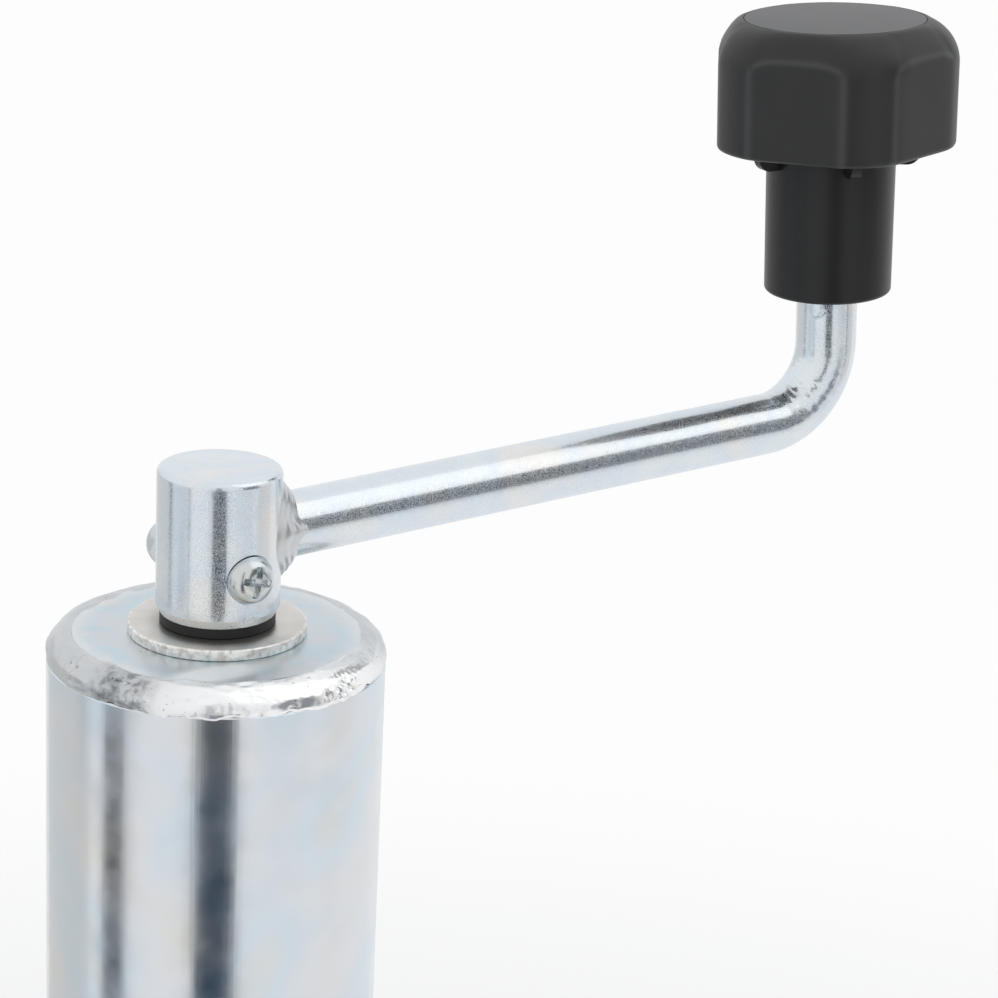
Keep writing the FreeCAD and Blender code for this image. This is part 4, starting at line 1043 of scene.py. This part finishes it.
# FLOOR
# Plain pale floor under the tyre, which keeps the shadow and fades out to the white studio.
# It rides with the sliding tube, so the wheel stands on it however far the crank is wound,
# and it is clear from below.
FLOOR_R = 1.5
FLOOR_SOLID_R = 0.75
FLOOR_DIP = 0.2 * MM
FLOOR_SIDES = 96
FLOOR_LIFT = 0.2
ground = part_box("tyre")[0].z - FLOOR_DIP
floor_mesh = bpy.data.meshes.new("floor")
ring = around(FLOOR_SIDES)[0]
floor_mesh.from_pydata(
    np.stack([FLOOR_R * np.cos(ring), FLOOR_R * np.sin(ring), 0 * ring + ground], -1),
    [], [list(range(FLOOR_SIDES))],
)
floor = bpy.data.objects.new("floor", floor_mesh)
bpy.context.scene.collection.objects.link(floor)
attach(floor, "inner_tube")
floor.visible_glossy = False
pale_floor, tree, shader, place = start_material("pale_floor")
floor_mesh.materials.append(pale_floor)
shader.inputs["Base Color"].default_value = linear("#e6e6e6")
shader.inputs["Roughness"].default_value = 0.9
shader.inputs["Specular IOR Level"].default_value = 0.0
shader.inputs["Emission Color"].default_value = (1, 1, 1, 1)
seen = add_node(tree, "ShaderNodeLightPath")
lift = add_node(
    tree, "ShaderNodeMath", {0: seen.outputs["Is Camera Ray"], 1: FLOOR_LIFT},
    operation="MULTIPLY",
)
tree.links.new(lift.outputs[0], shader.inputs["Emission Strength"])
span = add_node(tree, "ShaderNodeVectorMath", {0: place}, operation="LENGTH")
fade = add_node(
    tree, "ShaderNodeMapRange",
    {"Value": span.outputs["Value"], "From Min": FLOOR_R * 0.97, "From Max": FLOOR_SOLID_R},
    interpolation_type="SMOOTHSTEP",
)
side = add_node(tree, "ShaderNodeNewGeometry")
from_above = add_node(
    tree, "ShaderNodeMath", {0: 1.0, 1: side.outputs["Backfacing"]}, operation="SUBTRACT"
)
solid = add_node(
    tree, "ShaderNodeMath", {0: fade.outputs["Result"], 1: from_above.outputs[0]},
    operation="MULTIPLY",
)
clear = add_node(tree, "ShaderNodeBsdfTransparent")
mixed = add_node(
    tree, "ShaderNodeMixShader",
    {0: solid.outputs[0], 1: clear.outputs[0], 2: shader.outputs[0]},
)
tree.links.new(mixed.outputs[0], tree.nodes["Material Output"].inputs["Surface"])

# STUDIO
# White surround with the dark gaps between its soft boxes, which bright metal shows as bands.
# Headings are degrees clockwise from +Y seen from above. The camera sees plain white, and
# dull surfaces are lit by an even fill and two lamps.
SOFT_EDGE = 4.0
BOX_GLOW = 1.3
WORLD_FILL = 0.72
TARGET = Vector((0.05, 0, 0.15))
# Each patch: heading, half width, height, half height, colour. The last is the key box.
studio_patches = (
    (331, 31, -28, 33, linear("#dbdbdb")),
    (283, 20, -10, 11, linear("#e0e7ef")),
    (160, 17, -11, 9, linear("#e3e7ea")),
    (115, 14, -11, 9, linear("#dcd6d3")),
    (205, 14, -42, 20, linear("#263c50")),
    (206, 12, -15, 7, linear("#20262e")),
    (207, 5, 12, 24, linear("#3c4148")),
    (278, 9, -42, 21, linear("#5c5f64")),
    (262, 2, -12, 8, linear("#59616b")),
    (305, 4, -12, 8, linear("#59616b")),
    (130, 3, -12, 4, linear("#59616b")),
    (148, 16, 12, 23, linear("#5f646b")),
    (128, 32, 52, 25, (BOX_GLOW, BOX_GLOW, BOX_GLOW, 1)),
)
world = bpy.data.worlds.new("white_studio")
bpy.context.scene.world = world
world.use_nodes = True
tree = world.node_tree
direction = tree.nodes.new("ShaderNodeTexCoord").outputs["Generated"]
apart = add_node(tree, "ShaderNodeSeparateXYZ", {"Vector": direction})
turn = add_node(
    tree, "ShaderNodeMath", {0: apart.outputs["X"], 1: apart.outputs["Y"]}, operation="ARCTAN2"
)
heading = add_node(
    tree, "ShaderNodeMath", {0: turn.outputs[0], 1: 180 / math.pi}, operation="MULTIPLY"
)
raised = add_node(tree, "ShaderNodeMath", {0: apart.outputs["Z"]}, operation="ARCSINE")
height = add_node(
    tree, "ShaderNodeMath", {0: raised.outputs[0], 1: 180 / math.pi}, operation="MULTIPLY"
)


def band(value, middle, half, wraps=0):
    """1 inside a band of degrees and 0 outside it, with soft edges."""
    away = add_node(tree, "ShaderNodeMath", {0: value, 1: middle}, operation="SUBTRACT")
    if wraps:
        away = add_node(
            tree, "ShaderNodeMath", {0: away.outputs[0], 1: wraps / 2, 2: -wraps / 2},
            operation="WRAP",
        )
    size = add_node(tree, "ShaderNodeMath", {0: away.outputs[0]}, operation="ABSOLUTE")
    inside = add_node(
        tree, "ShaderNodeMapRange",
        {"Value": size.outputs[0], "From Min": half + SOFT_EDGE / 2,
         "From Max": half - SOFT_EDGE / 2},
        interpolation_type="SMOOTHSTEP",
    )
    return inside.outputs["Result"]


white = add_node(tree, "ShaderNodeRGB")
white.outputs[0].default_value = linear("#f6f7f9")
light = white.outputs[0]
for middle, half, level, half_level, colour in studio_patches:
    across = band(heading.outputs[0], middle, half, wraps=360)
    up_down = band(height.outputs[0], level, half_level)
    both = add_node(tree, "ShaderNodeMath", {0: across, 1: up_down}, operation="MULTIPLY")
    patched = add_node(
        tree, "ShaderNodeMix", {"Factor": both.outputs[0], MIX_A: light, MIX_B: colour},
        data_type="RGBA",
    )
    light = patched.outputs[MIXED]
seen = add_node(tree, "ShaderNodeLightPath")
reflected = add_node(tree, "ShaderNodeBackground", {"Color": light, "Strength": 1.0})
fill = add_node(
    tree, "ShaderNodeBackground", {"Color": linear("#fbfcff"), "Strength": WORLD_FILL}
)
backdrop = add_node(
    tree, "ShaderNodeBackground", {"Color": linear("#fdfdfd"), "Strength": 1.0}
)
lit = add_node(
    tree, "ShaderNodeMixShader",
    {0: seen.outputs["Is Glossy Ray"], 1: fill.outputs[0], 2: reflected.outputs[0]},
)
shown = add_node(
    tree, "ShaderNodeMixShader",
    {0: seen.outputs["Is Camera Ray"], 1: lit.outputs[0], 2: backdrop.outputs[0]},
)
tree.links.new(shown.outputs[0], tree.nodes["World Output"].inputs["Surface"])


def soft_box(name, heading_deg, height_deg, distance, wide, tall, strength):
    """Area lamp that looks at the knob end of the object, of a plain surface brightness."""
    h, e = math.radians(heading_deg), math.radians(height_deg)
    away = Vector((math.sin(h) * math.cos(e), math.cos(h) * math.cos(e), math.sin(e)))
    lamp = bpy.data.lights.new(name, "AREA")
    lamp.shape = "RECTANGLE"
    lamp.size, lamp.size_y = wide, tall
    lamp.energy = strength * math.pi * wide * tall
    holder = bpy.data.objects.new(name, lamp)
    bpy.context.scene.collection.objects.link(holder)
    holder.location = TARGET + away * distance
    holder.rotation_euler = (-away).to_track_quat("-Z", "Y").to_euler()
    holder.visible_glossy = False


soft_box(
    "key_box", heading_deg=120, height_deg=55, distance=1.7, wide=1.5, tall=1.1, strength=1.5
)
soft_box(
    "side_box", heading_deg=280, height_deg=35, distance=2.0, wide=0.9, tall=1.4, strength=0.9
)

# CAMERA
# Stands where the photograph was taken from, above the crank and looking down past it. Its
# place and lens were fitted to the rim, the hub, the rod and the knob.
CAMERA_PLACE = (-205.3 * MM, -419.8 * MM, 359.1 * MM)
CAMERA_HEADING = 32.04
CAMERA_DOWN = 17.69
CAMERA_ROLL = 2.85
CAMERA_LENS = 101.0
camera = bpy.data.objects.new("camera", bpy.data.cameras.new("camera"))
bpy.context.scene.collection.objects.link(camera)
camera.data.lens = CAMERA_LENS
camera.data.clip_start = 10 * MM
aim = Matrix.Rotation(math.radians(-CAMERA_HEADING), 4, "Z")
aim = aim @ Matrix.Rotation(math.radians(90 - CAMERA_DOWN), 4, "X")
aim = aim @ Matrix.Rotation(math.radians(CAMERA_ROLL), 4, "Z")
camera.matrix_world = Matrix.Translation(CAMERA_PLACE) @ aim
bpy.context.scene.camera = camera
bpy.context.scene.view_settings.view_transform = "Standard"
